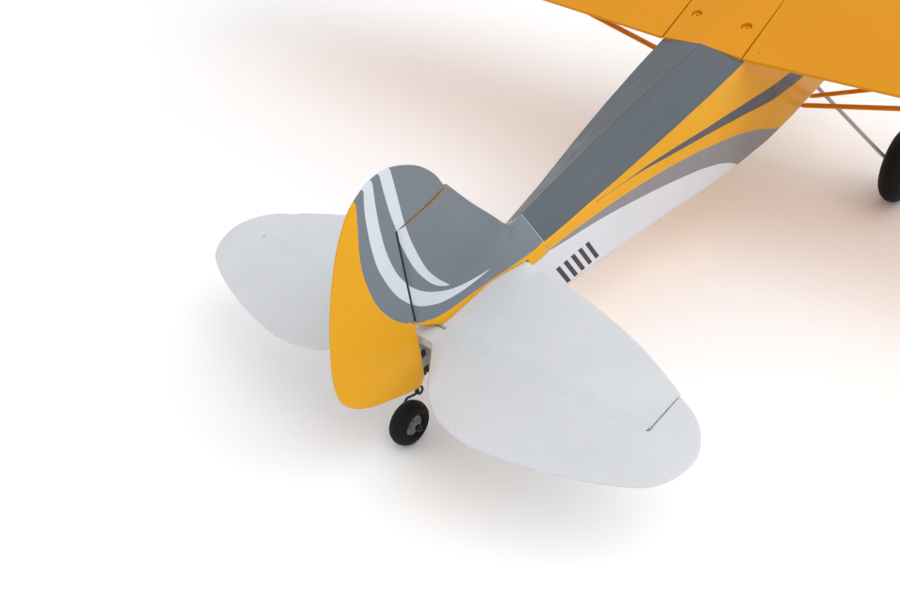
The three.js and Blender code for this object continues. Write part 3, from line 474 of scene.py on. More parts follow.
def plate_mesh(outline, height, grid):
    """Both faces of a flat moulding: height(points, edge distance) gives the top and bottom."""
    edge = dense(np.array(outline, float))
    ahead = np.roll(edge, -1, axis=0) - np.roll(edge, 1, axis=0)
    normal = np.stack([ahead[:, 1], -ahead[:, 0]], axis=1)
    normal /= np.linalg.norm(normal, axis=1)[:, None]
    extra = []
    for ring in RINGS:
        for sign in (-1, 1):
            moved = edge + sign * ring * normal
            keep = inside(moved, edge) & (edge_distance(moved, edge) > 0.93 * ring)
            extra.append(moved[keep])
    low, high = edge.min(0), edge.max(0)
    steps = [np.arange(low[k], high[k], grid) for k in (0, 1)]
    lattice = np.array([(x, y) for x in steps[0] for y in steps[1]])
    lattice = lattice[inside(lattice, edge)]
    extra.append(lattice[edge_distance(lattice, edge) > RINGS[-1] + 2.5])
    points = np.vstack([edge] + extra)
    loop = [(k, (k + 1) % len(edge)) for k in range(len(edge))]
    flat, _, triangles, *_ = delaunay_2d_cdt([Vector(p) for p in points], loop, [], 1, 1e-4)
    flat = np.array([tuple(p) for p in flat])
    away = edge_distance(flat, edge)
    top, bottom = height(flat, away)
    return flat, top, bottom, triangles


def plate(outline, height, upright, grid=9.0):
    """Vertices and faces of a plate lying flat, or standing in the plane of symmetry."""
    flat, top, bottom, triangles = plate_mesh(outline, height, grid)
    count = len(flat)
    stand = (lambda u, v, h: (u, -h, v)) if upright else (lambda u, v, h: (u, v, h))
    verts = [stand(u, v, h) for (u, v), h in zip(flat, top)]
    verts += [stand(u, v, h) for (u, v), h in zip(flat, bottom)]
    faces = [tuple(t) for t in triangles]
    faces += [tuple(count + k for k in reversed(t)) for t in triangles]
    used = dict.fromkeys(pair for t in triangles for pair in zip(t, t[1:] + t[:1]))
    for a, b in used:
        if (b, a) not in used:
            faces.append((b, a, count + a, count + b))
    return verts, faces


def rim_distance(points, run):
    """Distance of each point from an open line."""
    run = [np.array(p, float) for p in run]
    return np.min([line_distance(points, a, b) for a, b in zip(run, run[1:])], axis=0)


def tapered(points, free, reach=40.0):
    """Half thickness of a plate that thins towards its free edge, with that edge rounded."""
    away = rim_distance(points, free)
    share = 1 - np.clip(away / reach, 0, 1)
    half = 1.2 + (TAIL_HALF - 1.2) * (1 - share ** 1.6)
    near = 1 - np.clip(away / 1.3, 0, 1)
    return half * (0.4 + 0.6 * np.sqrt(1 - near ** 2))


def hinge_round(distance, radius=3.0):
    """Half thickness beside a hinge edge with its corners rounded off."""
    near = 1 - np.clip(distance / radius, 0, 1)
    return TAIL_HALF - radius + radius * np.sqrt(1 - near ** 2)


# ---- printed finish
def position(shader):
    """Airframe position in millimetres, as three outputs."""
    scaled = shader.node("ShaderNodeVectorMath", {0: shader.coords, 1: (1000.0, 1000.0, 1000.0)},
                         operation="MULTIPLY").outputs[0]
    return shader.node("ShaderNodeSeparateXYZ", {0: scaled}).outputs


def line(shader, along, points):
    """Height of a smooth line through (place, height) points, held level beyond its ends."""
    places, heights = [p[0] for p in points], [p[1] for p in points]
    p0, p1, h0, h1 = min(places), max(places), min(heights), max(heights)
    curve = shader.node("ShaderNodeFloatCurve", {"Value": shader.span(along, p0, p1)})
    run = curve.mapping.curves[0]
    ordered = sorted(((p - p0) / (p1 - p0), (h - h0) / (h1 - h0)) for p, h in points)
    run.points[0].location, run.points[1].location = ordered[0], ordered[-1]
    for place, height in ordered[1:-1]:
        run.points.new(place, height)
    curve.mapping.update()
    return shader.span(curve.outputs[0], 0.0, 1.0, h0, h1)


def least(shader, *fields):
    total = fields[0]
    for field in fields[1:]:
        total = shader.math("MINIMUM", total, field)
    return total


def printed(name, base, paint, gloss=0.4, coat=0.12, crumple=None):
    """Film over bead foam: `paint` gives (colour, field) layers, each laid where its field is positive."""
    shader = Shader(name)
    x, y, z = position(shader)[:3]
    mottled = shader.span(shader.noise(9.0), 0.35, 0.7)
    tone = shader.mix(mottled, darker(base, 0.965), darker(base, 1.02))
    for layer, field in paint(shader, x, y, z):
        share = shader.span(field, -0.12, 0.12)
        tone = shader.mix(share, tone, shader.mix(mottled, darker(layer, 0.965), darker(layer, 1.02)))
    beads = shader.span(shader.cells(420.0), 0.0, 0.12)
    worn = shader.span(shader.noise(30.0, 6.0, 0.7), 0.66, 0.78)
    tone = shader.mix(shader.times(worn, 0.10), tone, colour(225, 225, 225))
    relief = shader.plus(shader.times(beads, 0.35),
                         shader.times(shader.noise(1400.0, 2.0), 0.12))
    relief = shader.plus(relief, shader.times(shader.noise(22.0, 2.0), 0.5))
    # sparse pits are dented into the film by the bump, and their colour is darkened as painted shade in the dents
    pits = shader.times(shader.span(shader.cells(31.0, "F1"), 0.02, 0.05, 1.0, 0.0),
                       shader.span(shader.noise(17.0, 1.0), 0.52, 0.56))
    tone = shader.mix(shader.times(pits, 0.35), tone, colour(40, 44, 50))
    relief = shader.minus(relief, shader.times(pits, 1.6))
    if crumple:
        creased = crumple(shader, x, y, z)
        folds = shader.times(shader.noise(210.0, 3.0, 0.6), creased)
        relief = shader.plus(relief, shader.times(folds, 7.0))
        gloss_here = shader.span(creased, 0.0, 1.0, gloss, 0.2)
    else:
        gloss_here = gloss
    wander = shader.span(shader.noise(60.0, 4.0), 0.3, 0.7, -0.06, 0.1)
    rough = shader.plus(wander, gloss_here)
    shader.set(Base_Color=tone, Roughness=rough, Coat_Weight=coat, Coat_Roughness=0.25, IOR=1.28)
    shader.bump(relief, 0.3, 0.0005)
    return shader.material


# Lines of the printed design on the vertical tail, as (height, distance forward).
YELLOW_REAR = [(26, -25.5), (31.2, -30.8), (39.4, -37.4), (51.2, -44.2), (63.7, -49.3), (73.5, -51.5),
               (90.7, -53.4), (105.3, -52.7), (124.3, -48.7), (142.3, -44.3)]
STRIPE_A_REAR = [(21.5, 3.5), (28.6, -8.1), (36.8, -17.4), (46, -24.4), (56.8, -30.8), (69, -35.7),
                 (79.6, -38.9), (89.2, -41.2), (105.3, -42.3), (119.5, -41.7), (132.5, -40.1), (147, -36)]
STRIPE_A_FRONT = [(13.7, 58.6), (14.3, 53.1), (16.1, 42.7), (19.2, 30.1), (23.8, 18), (31.1, 6),
                  (40.4, -5.4), (49.6, -13.7), (56.9, -18.5), (67.9, -24.3), (78.2, -27.9), (88.7, -30.3),
                  (105.5, -32.2), (126.7, -31.4), (147, -28)]
STRIPE_B_REAR = [(27, 19), (32.6, 10.8), (40.6, 3.2), (51.9, -4), (65.2, -10.3), (75.9, -13.8),
                 (93.3, -17.2), (110, -20), (119.9, -21.2), (133.9, -21.6), (149, -21)]
STRIPE_B_FRONT = [(27, 19), (37.1, 11.7), (42.5, 7.9), (56.9, 0.3), (68, -3.5), (78.3, -6.3), (96.7, -10.1),
                  (113, -11.8), (127.3, -11.7), (148, -11.4)]
# Lines given as (distance forward, height).
STRIPE_A_FOOT = [(-28, 51.6), (-17.4, 36.8), (-8.1, 28.6), (3.5, 21.5), (15.4, 17.7), (28.1, 15.3),
                 (41.5, 14.1), (52.7, 13.6), (58.6, 13.7)]
FIN_FOOT = [(-25, 27), (-16.4, 18.9), (-9.5, 16.2), (-0.7, 13), (11.4, 10.9), (24.3, 9.7), (37.5, 8.6),
            (51.2, 6.8), (63.6, 6.6), (75.1, 7.2), (87.6, 7.2), (101.8, 6.5), (110.7, 7.2)]
ROOF_EDGE = [(110.7, 6.3), (131, 7), (164, 8.8), (198, 11), (233, 13), (269, 14.9), (305, 17.6),
             (343, 20.3), (372, 22.5), (420, 27), (572, 27), (612, -4), (655, -10), (695, -16)]
SWOOSH_X = 169.5
SWOOSH_TOP = [(SWOOSH_X, 6.2), (212.5, 2), (234.3, 0.1), (259.4, -3.3), (286, -7.3), (314.4, -12),
              (342.9, -16.4), (373.7, -21.9), (470, -36), (690, -50)]
SWOOSH_FOOT = [(SWOOSH_X, 5.6), (213.8, 0.8), (240.3, -3.9), (270.6, -10.3), (301.5, -16.7), (332.5, -23.4),
               (370.9, -32.9), (470, -54), (690, -68)]
YELLOW_FOOT = [(112.7, -3), (129.8, -3.3), (149.1, -4.6), (170.1, -6.6), (190.9, -8.7), (215, -12),
               (241.1, -16.4), (268.2, -21.6), (302.2, -29.8), (341.9, -41.3), (389.5, -59), (430, -80),
               (470, -106)]
WHITE_HEAD = [(112, -3.6), (137.3, -8.3), (159.8, -12), (185.5, -17.2), (214.8, -24.4), (246.8, -32.8),
              (283.2, -43.6), (322.5, -57), (359.6, -75.7), (381, -93), (392, -106)]
BELLY = [(-12.6, -39.5), (60, -48.5), (110, -55), (162, -62), (216, -69), (270, -76), (324, -85),
         (371, -92), (430, -97), (480, -98), (572, -96), (695, -85)]
MARK = {"rear": 118, "pitch": 9.0, "bars": 5, "width": 4.6, "foot": -51.5, "head": -27, "slant": 0.5}


def tail_paint(shader, x, y, z):
    minus = shader.minus
    forward = lambda points: line(shader, z, points)
    grey = least(shader, minus(x, forward(YELLOW_REAR)),
                 minus(z, line(shader, x, FIN_FOOT)))
    stripe_a = least(shader, minus(x, forward(STRIPE_A_REAR)),
                     minus(forward(STRIPE_A_FRONT), x),
                     minus(z, line(shader, x, STRIPE_A_FOOT)),
                     minus(58.6, x))
    stripe_b = least(shader, minus(x, forward(STRIPE_B_REAR)),
                     minus(forward(STRIPE_B_FRONT), x), minus(z, 27.0))
    # painted shade of the balance gap: the fin's top face under the rudder's balance is coloured dark ochre
    balance = least(shader, minus(z, FIN_TOP - 0.35),
                    minus(BALANCE_FOOT + 0.35, z), minus(x, RUDDER_X + 2))
    seam = minus(x, FIN_SEAM_X - 0.75)
    # painted shade of the hinge gap: the fin's rear edge beside the hinge is coloured nearly black
    hinge = least(shader, minus(RUDDER_X + 2.8, x), minus(x, RUDDER_X),
                  minus(z, 21.0), minus(FIN_TOP, z))
    return [(GREY, grey), (STRIPE, stripe_a), (STRIPE, stripe_b), (BALANCE_GAP_SHADE, balance), (SEAM, seam),
            (HINGE_SHADE, hinge)]


def fin_crumple(shader, x, y, z):
    """Share of crumpled film: wrinkled where it turns from the fin into the roof, near the seam."""
    times = shader.times
    along = times(shader.span(x, 66.0, 88.0), shader.span(x, 104.0, 109.0, 1.0, 0.0))
    up = times(shader.span(z, 7.0, 13.0), shader.span(z, 27.0, 36.0, 1.0, 0.0))
    patches = shader.span(shader.noise(45.0, 2.0), 0.42, 0.58)
    return times(times(along, up), patches)


def hull_paint(shader, x, y, z):
    minus, plus, times = shader.minus, shader.plus, shader.times
    height = lambda points: line(shader, x, points)
    over = lambda points: minus(z, height(points))
    under = lambda points: minus(height(points), z)
    roof = over(ROOF_EDGE)
    swoosh = least(shader, under(SWOOSH_TOP), over(SWOOSH_FOOT), minus(x, SWOOSH_X))
    belly = minus(z, plus(height(BELLY), 2.6))
    band = least(shader, under(YELLOW_FOOT), belly)
    white = least(shader, under(WHITE_HEAD), belly)
    # the registration mark is a row of plain slanted bars
    leaned = plus(x, times(minus(z, MARK["head"]), MARK["slant"]))
    along = minus(leaned, float(MARK["rear"]))
    half = MARK["width"] / 2
    cell = minus(shader.math("MODULO", along, MARK["pitch"]), half)
    bar = minus(half, shader.math("ABSOLUTE", cell))
    middle = (MARK["head"] + MARK["foot"]) / 2
    tall = minus((MARK["head"] - MARK["foot"]) / 2,
                       shader.math("ABSOLUTE", minus(z, middle)))
    last = MARK["bars"] * MARK["pitch"] - MARK["pitch"] + MARK["width"]
    mark = least(shader, bar, tall, along, minus(last, along))
    stern = minus(STERN_X + 0.4, x)
    return [(ROOF_GREY, roof), (DARK_GREY, swoosh), (MID_GREY, band), (WHITE, white), (MARK_INK, mark),
            (STERN_POST, stern)]


def plain_paint(shader, x, y, z):
    return []


LOOK = {
    "tail": printed("tail_film", YELLOW, tail_paint, crumple=fin_crumple),
    "hull": printed("hull_film", YELLOW, hull_paint),
    "wing": printed("wing_film", WING_YELLOW, plain_paint, gloss=0.44, coat=0.08),
    "hatch": printed("hatch_film", ROOF_GREY, plain_paint),
    "foam": bare_foam("tail_foam"),
    "black": plastic("black_plastic", colour(14, 14, 16)),
    "grey": plastic("grey_plastic", colour(136, 134, 130), gloss=0.5),
    "orange": plastic("orange_plastic", colour(222, 140, 6), gloss=0.45),
    "yellow": plastic("yellow_plastic", YELLOW, gloss=0.3),
    "ivory": plastic("arm_plastic", colour(216, 218, 214), gloss=0.45),
    "blue": plastic("blue_wrap", colour(38, 70, 128), gloss=0.25, grain=200.0),
    "rubber": rubber("tyre_rubber"),
    "steel": metal("steel_wire", (0.45, 0.46, 0.48, 1.0)),
    "blackened": plastic("blackened_wire", colour(18, 18, 19), gloss=0.38, grain=1200.0),
    "alloy": metal("turned_alloy", (0.62, 0.63, 0.65, 1.0), gloss=0.25),
    "glass": glazing("cabin_glazing"),
    "ply": ply("birch_ply"),
}


# ---- tail
RUDDER_TOP = [(33, 105.6), (25, 121), (11, 136), (-10, 148), (-28, 150), (-43, 145), (-54, 137), (-67, 119),
              (-80, 91), (-89, 63), (-95.6, 31), (-95, 9), (-87, -6), (-73, -18.5), (-54, -29), (-35, -38.5),
              (-25, -42.5)]
FIN_FRONT = [(36, FIN_TOP), (56, 75), (75, 50), (88, 32.5), (95, 26.2), (102, 24.7)]
# Fairing below the fin, as (distance forward, ridge height, half width, shoulder height).
FAIRING = [(-19.6, 20.5, 1.5, 20), (-16.5, 20.3, 4.2, 19), (1.5, 16, 8.6, 9), (10, 17, 9.5, 8),
           (55, 20, 10.5, 8), (66, 21.5, 13, 7), (77, 22.5, 16.5, 6.5), (88, 23.5, 19.5, 5.5),
           (110, 25.3, 20.8, 4.5)]
STAB_EDGE = [(39, 179.5), (46, 167), (57, 145), (66, 123), (73, 102), (79, 81), (83, 60), (87, 30), (88, 0)]
ELEVATOR_EDGE = [(37, 180.3), (29, 195.5), (17, 207), (0, 214), (-17, 212), (-29, 206), (-38, 197),
                 (-49, 176), (-58, 152), (-65, 127), (-70.5, 99), (-71, 84), (-69.5, 73), (-65.8, 59.5),
                 (-60.2, 50)]
ELEVATOR_INNER = [(-60.2, 50), (-54.3, 42.2), (-46.5, 34.8), (-31, 24), (-16, 13)]
FIN_RIM = smooth_through(FIN_FRONT)


def both_sides(port):
    """A port-side run followed back by its mirror image."""
    return list(port) + [(x, -y) for x, y in reversed(port)]


def rudder_skin():
    hinge = RUDDER_X - HINGE_GAP
    free = [tuple(p) for p in smooth_through(RUDDER_TOP)]
    outline = [(hinge, -35), (hinge, BALANCE_FOOT), (33, BALANCE_FOOT)] + free

    def height(points, away):
        half = np.minimum(tapered(points, free), np.where(away < 0.4, TAIL_HALF - 0.4, TAIL_HALF))
        # a moulded boss stiffens the lower front corner, round the tail wire
        reach = np.minimum(points[:, 1] + 44, -12 - points[:, 1]) * 0.5
        wedge = np.minimum(reach, (points[:, 0] + 46 - 0.5 * (points[:, 1] + 44)) * 0.4)
        boss = np.clip(wedge * 0.5, 0, 0.8) * np.clip(away / 4, 0, 1)
        return half + boss, -half - boss

    body = plate(outline, height, upright=True)
    lay("rudder_skin", body, "tail", ["rudder"], crease=50)


def spread(x):
    """Ridge height, half width and shoulder height of the fairing below the fin, at stations forward."""
    stations = np.array(FAIRING, float)
    return [np.interp(x, stations[:, 0], stations[:, k]) for k in (1, 2, 3)]


def fin_half(points):
    """Half thickness of the fin, with its blade faired into the roof of the fuselage."""
    x, z = points[:, 0], points[:, 1]
    ridge, half, shoulder = spread(x)
    bevel = np.clip(1.5 + 0.5 * (x - RUDDER_X - HINGE_GAP), 1.5, TAIL_HALF)
    blade = np.where(z < ridge - 1, TAIL_HALF - 0.3, tapered(points, FIN_RIM, 25.0))
    blade = np.minimum(blade * np.clip((FIN_SEAM_X - 6 - x) / 12, 0, 1), bevel)
    top = ridge + 10
    climb = np.clip((top - z) / (top - shoulder), 0, 1)
    flare = blade + (half - blade) * climb ** 1.8
    waist = (ridge + shoulder) / 2 + 0.6
    upper = (ridge - z) / (ridge - waist) * half / 2
    lower = half / 2 + (waist - z) / (waist - shoulder) * half / 2
    gable = np.clip(np.where(z > waist, upper, lower), 0.05, half)
    share = np.clip((x - 70) / 35, 0, 1)
    share = share * share * (3 - 2 * share)
    return np.where(z <= shoulder, half, (1 - share) * flare + share * np.maximum(gable, blade))


def fin_skin():
    """The fin and its fairing, with a slot for the stabilizer."""
    hinge = RUDDER_X + HINGE_GAP
    low = TAIL_HALF + GAP
    slot = STAB_EDGE[-1][0] + GAP + 0.5
    outline = [(hinge, 19.2), (hinge, FIN_TOP)] + [tuple(p) for p in FIN_RIM]
    outline += [(FIN_SEAM_X - GAP, 25.3), (FIN_SEAM_X - GAP, -TAIL_HALF), (slot, -TAIL_HALF), (slot, low),
                (1.5, low), (-16.5, 16.9)]

    def height(points, away):
        half = fin_half(points)
        crown = np.clip(rim_distance(points, FIN_RIM) / 5, 0, 1)
        half = np.where(points[:, 1] < 40, np.minimum(half, 0.6 + half * np.sqrt(1 - (1 - crown) ** 2)), half)
        half = np.where(points[:, 0] > FIN_SEAM_X - 5, fin_half(points), half)
        return half, -half

    body = plate(outline, height, upright=True, grid=3.0)
    lay("fin_skin", body, "tail", ["fin"], crease=50)


def stabilizer_skin():
    port = [tuple(p) for p in smooth_through(STAB_EDGE)]
    free = [(x, -y) for x, y in port[:-1]] + list(reversed(port))
    outline = [(HINGE_GAP, -179.5)] + free + [(HINGE_GAP, 179.5)]

    def height(points, away):
        # the root keeps its full thickness, to fill its slot in the fuselage
        root = np.clip((30 - np.abs(points[:, 1])) / 8, 0, 1)
        nose = 1 - np.clip(away / 2.5, 0, 1)
        full = TAIL_HALF * (0.55 + 0.45 * np.sqrt(1 - nose ** 2))
        half = (1 - root) * tapered(points, free) + root * full
        half = np.minimum(half, hinge_round(points[:, 0] - HINGE_GAP))
        return half, -half

    body = plate(outline, height, upright=False)
    lay("stabilizer_skin", body, "foam", ["stabilizer"], crease=60)


def elevator_skin():
    free = [tuple(p) for p in smooth_through(ELEVATOR_EDGE)]
    port = [(-HINGE_GAP, 180.3)] + free + ELEVATOR_INNER[1:]
    outline = both_sides(port)

    def height(points, away):
        folded = np.stack([points[:, 0], np.abs(points[:, 1])], axis=1)
        half = tapered(folded, free)
        along_hinge = np.where(folded[:, 1] < 180, -HINGE_GAP - folded[:, 0], 99)
        half = np.minimum(half, hinge_round(along_hinge))
        ramp = np.where(folded[:, 1] > 12.5, 3.0 + 0.18 * rim_distance(folded, ELEVATOR_INNER), TAIL_HALF)
        crisp = np.where(away < 0.4, 0.9, 1.0)
        return np.minimum(half, ramp) * crisp, -half * crisp

    body = plate(outline, height, upright=False)
    lay("elevator_skin", body, "foam", ["elevator"], crease=60)


def hinge_web():
    """Thin fixed skin of foam laid over each half of the elevator hinge."""
    reach, thick = 4.0, 0.35
    for name, start, end in (("left", 13.0, 178.6), ("right", -13.0, -178.6)):
        rings = []
        for y in np.linspace(start, end, 24):
            top = [(x, TAIL_HALF + 0.06 - 0.16 * (1 - abs(x) / reach) ** 1.5)
                   for x in (-reach, -3, -2, -1, 0, 1, 2, 3, reach)]
            rings.append([(x, y, z) for x, z in top] + [(x, y, z - thick) for x, z in reversed(top)])
        web = lay(f"hinge_web_{name}", loft(rings), "foam", [], crease=60)
        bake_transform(web)


def axle_height(x, radius):
    """Height of the axle of a wheel that stands on the floor."""
    return (radius - HINGE_HEIGHT - math.sin(PITCH) * x) / math.cos(PITCH)


TAIL_WHEEL = {"x": -42, "radius": 18, "width": 15, "hub": 8, "bore": 1.3}
MAIN_WHEEL = {"x": 545, "y": 135, "radius": 40, "width": 26, "hub": 18, "bore": 2.6}


def tail_wire():
    x, z = TAIL_WHEEL["x"], axle_height(TAIL_WHEEL["x"], TAIL_WHEEL["radius"])
    turns = [k / 24 * 2 * math.pi for k in range(25)]
    coil = [(-24.2 - 2.8 * math.cos(t), 2.72 * t / turns[-1], -47.5 - 2.8 * math.sin(t)) for t in turns]
    clear = TAIL_WHEEL["width"] / 2 + 3.2
    leg = smooth_through([coil[-1], (-27.2, 3.4, -50.5), (-30.5, 9.4, -55.5), (-32.5, clear, -58.5),
                          (-39, clear, z + 3.2), (x + 1.2, clear - 0.4, z + 1.5),
                          (x + 0.2, clear - 1.4, z + 0.4), (x, clear - 2.8, z)], 5)
    route = [(-27, 0, -33)] + coil + [tuple(p) for p in leg[1:]] + [(x, -clear - 1.5, z)]
    lay("tail_wire_skin", tube(route, 1.0), "blackened", ["tail_wheel_wire"], crease=40)
    profile = [(1.3, -1.3), (2.5, -1.3), (2.8, -1.0), (2.8, 1.0), (2.5, 1.3), (1.3, 1.3)]
    collar = turned(profile, "y", (x, -TAIL_WHEEL["width"] / 2 - 2, z), 40)
    lay("tail_collar_skin", collar, "blackened", ["tail_wheel_collar"])


def wheel(prefix, suffix, spec, y):
    """Foam tyre on a moulded hub with ribs."""
    centre = (spec["x"], y, axle_height(spec["x"], spec["radius"]))
    rim, w, depth = spec["hub"] + GAP, spec["width"] / 2, spec["radius"] - spec["hub"]
    shares = ((0, 0.68), (0.1, 0.86), (0.3, 1), (0.55, 0.97), (0.8, 0.7))
    crown = [(rim + share * depth, -out * w) for share, out in shares] + [(spec["radius"] - 0.4, -0.28 * w)]
    half = [tuple(p) for p in smooth_through(crown, 5)]
    profile = half + [(spec["radius"], 0.0)] + [(r, -a) for r, a in reversed(half)]
    tyre, hub = f"{prefix}_tyre{suffix}", f"{prefix}_hub{suffix}"
    lay(tyre + "_skin", turned(profile, "y", centre), "rubber", [tyre], crease=50)
    r, bore = spec["hub"], spec["bore"]
    boss = bore + 0.22 * r
    face = [(bore, 0.95 * w), (boss - 0.3, 0.95 * w), (boss, 0.9 * w), (boss, 0.44 * w),
            (boss + 0.4, 0.4 * w), (r * 0.84, 0.44 * w), (r * 0.87, 0.5 * w), (r - 0.5, 0.66 * w),
            (r, 0.62 * w)]
    profile = face + [(a, -b) for a, b in reversed(face)]
    verts, faces = turned(profile, "y", centre, 72)
    ribs = []
    for side in (-1, 1):
        for k in range(6):
            turn = 2 * math.pi * k / 6
            outward = Vector((math.cos(turn), 0, math.sin(turn)))
            across = Vector((-math.sin(turn), 0, math.cos(turn))) * 0.06 * r
            base = len(verts) + len(ribs)
            for reach, top in ((boss - 0.2, 0.7 * w), (r * 0.86, 0.52 * w)):
                middle = Vector(centre) + outward * reach
                ribs += [middle + across * sign + Vector((0, side * out, 0))
                         for sign in (-1, 1) for out in (0.36 * w, top)]
            faces += [tuple(base + i for i in quad) for quad in BOX_QUADS]
    lay(hub + "_skin", (verts + ribs, faces), "grey", [hub])


# ---- wing
WING_TOP = [(0, 0.03), (0.0125, 0.056), (0.05, 0.084), (0.1, 0.105), (0.2, 0.126), (0.3, 0.131), (0.4, 0.127),
            (0.55, 0.109), (0.7, 0.077)]
WING_UNDER = [(0.25, 0), (0.06, 0.006), (0.0125, 0.015), (0, 0.03)]
WING_TIP = [(570, 1, 1), (586, 0.94, 0.92), (599, 0.82, 0.74), (607, 0.62, 0.5), (611.6, 0.3, 0.2)]
AILERON_SPAN = (262, 562)
BOLT = {"x": 405, "y": 24.5, "head": 4.5, "shank": 2.4, "seat": 32}
SERVO = {"x": 465, "y": 362}


def underside(x):
    return WING_TE_Z + INCIDENCE * (x - WING_TE)


def rear_top(x):
    back, rise = WING_TOP[-1]
    joint = WING_TE + CHORD * (1 - back)
    height, low = underside(joint) + rise * CHORD, WING_TE_Z + EDGE
    return low + (height - low) * (x - WING_TE) / (joint - WING_TE)


def section():
    """The wing section as (share back, share up), smooth over the nose and straight to the rear."""
    top = [tuple(p) for p in smooth_through(WING_TOP, 5)]
    under = [tuple(p) for p in smooth_through(WING_UNDER, 4)]
    return top + [(1, EDGE / CHORD), (1, 0)] + under[:-1]


def wing_ring(y, plan=1.0, depth=1.0, crown=0.0):
    middle = WING_TE + CHORD / 2
    ring = []
    for k, (back, rise) in enumerate(section()):
        x = middle + plan * CHORD * (0.5 - back)
        lift = crown * max(0, (back - 0.6) / 0.4) if rise > 0 and back > 0.3 else 0
        ring.append((x, y, underside(x) + depth * rise * CHORD + (1 - depth) * 8 + lift))
    return ring


def wing_panel(side, name):
    rings = [wing_ring(y) for y in (1.4, 120, 240, 360, 480)]
    rings += [wing_ring(*tip) for tip in smooth_through(WING_TIP, 5)]
    servo_z = underside(SERVO["x"]) + 15 + GAP
    x, y = SERVO["x"], SERVO["y"]
    # the joiner tube is level, so its bore is turned back by the dihedral
    c, s = math.cos(DIHEDRAL), math.sin(DIHEDRAL)
    level, bore_faces = rod_mesh(JOINER["radius"] + GAP, JOINER["length"], "y", (0, 0, 0))
    bore = [(JOINER["x"] + bx, by * c + bz * s - ROOT_Y * c,
             bz * c - by * s + JOINER["z"] + ROOT_Y * s - 0.04) for bx, by, bz in level]
    cove = box_mesh(WING_TE - 5, HINGE_X + HINGE_GAP, AILERON_SPAN[0] - 0.7, AILERON_SPAN[1] + 0.7, 0, 90)
    bay = box_mesh(x - 17 - GAP, x + 6 + GAP, y - 24 - GAP, y + 4, 0, servo_z)
    lugs = box_mesh(x - 22 - GAP, x + 11 + GAP, y - 9, y - 5, 0, servo_z)
    body = mesh_data(combined("DIFFERENCE", loft(rings), [cove, bay, lugs, (bore, bore_faces)]))
    lay(f"wing_{name}_skin", mirrored(body, side), "wing", [f"wing_{name}"], panel_frame(side),
        crease=40, bevel=0.35)


def aileron_skin(side, name):
    front = HINGE_X - HINGE_GAP
    bevel = 0.5 * (rear_top(front) - underside(front))
    rings = []
    for y in np.linspace(AILERON_SPAN[0], AILERON_SPAN[1], 9):
        rings.append([(front, y, rear_top(front)), (WING_TE, y, WING_TE_Z + EDGE), (WING_TE, y, WING_TE_Z),
                      (front - bevel, y, underside(front - bevel))])
    lay(f"aileron_{name}_skin", mirrored(loft(rings), side), "wing", [f"aileron_{name}"],
        panel_frame(side), bevel=0.5)


def wing_centre_skin():
    half = ROOT_Y - GAP
    rings = [wing_ring(y, crown=3.2 * (1 - abs(y) / half)) for y in np.linspace(-half, half, 21)]
    tools = [box_mesh(WING_TE - 9, WING_TE + 90, -50, 50, -20, WING_TE_Z),
             rod_mesh(JOINER["radius"] + GAP, JOINER["length"], "y", (JOINER["x"], 0, JOINER["z"]))]
    for side in (-1, 1):
        tools.append(rod_mesh(BOLT["shank"] + GAP, 80, "z", (BOLT["x"], side * BOLT["y"], 40)))
        tools.append(rod_mesh(BOLT["head"] + GAP, 40, "z", (BOLT["x"], side * BOLT["y"], BOLT["seat"] + 20)))
    lay_mesh("wing_centre_skin", combined("DIFFERENCE", loft(rings), tools), "wing", ["wing_centre"],
             crease=40, bevel=0.35)


# Each strut with its ends as (distance forward, height), and how far out those ends are.
STRUTS = [("rear", (490, -88), (430, 38)), ("front", (508, -88), (525, 41.5))]
STRUT_FOOT_Y, STRUT_HEAD_Y = 46.5, 359


def strut(node, side, foot, head):
    lower = Vector((foot[0], side * STRUT_FOOT_Y, foot[1]))
    upper = Vector((head[0], side * STRUT_HEAD_Y, head[1]))
    run = (upper - lower).normalized()
    chordwise = (Vector((1, 0, 0)) - run * run.x).normalized()
    thick = run.cross(chordwise)
    rings = []
    for share in (0, 0.01, 0.03, 0.5, 0.97, 0.99, 1):
        fit = 0.8 if share in (0, 1) else 1.0
        centre = lower.lerp(upper, share)
        rings.append([centre + chordwise * (3.6 * fit * math.cos(t)) + thick * (1.8 * fit * math.sin(t))
                      for t in (2 * math.pi * k / 28 for k in range(28))])
    lay(node + "_skin", loft(rings), "orange", [node])


# ---- nose and gear
def cowl_skin():
    # stations as (distance forward, half width, half height, middle height)
    spine = [(695.3, 40, 39.6, -45.6), (706, 39.7, 39, -45.55), (718, 39, 38, -45.5),
             (729, 37.2, 36.2, -45.3), (737, 34.6, 33.6, -45.2), (743, 31, 30, -45.1), (748, 26, 25, -45)]
    rings = []
    for wall, order in ((0.0, spine), (2.4, list(reversed(spine)))):
        for x, half, rise, middle in order:
            ring = []
            for k in range(72):
                c, s = math.cos(2 * math.pi * k / 72), math.sin(2 * math.pi * k / 72)
                soft = [math.copysign(abs(v) ** 0.6, v) for v in (c, s)]
                ring.append((x, (half - wall) * soft[0], middle + (rise - wall) * soft[1]))
            rings.append(ring)
    lay("cowl_skin", loft(rings, close_rings=True), "hull", ["cowl"], crease=45)


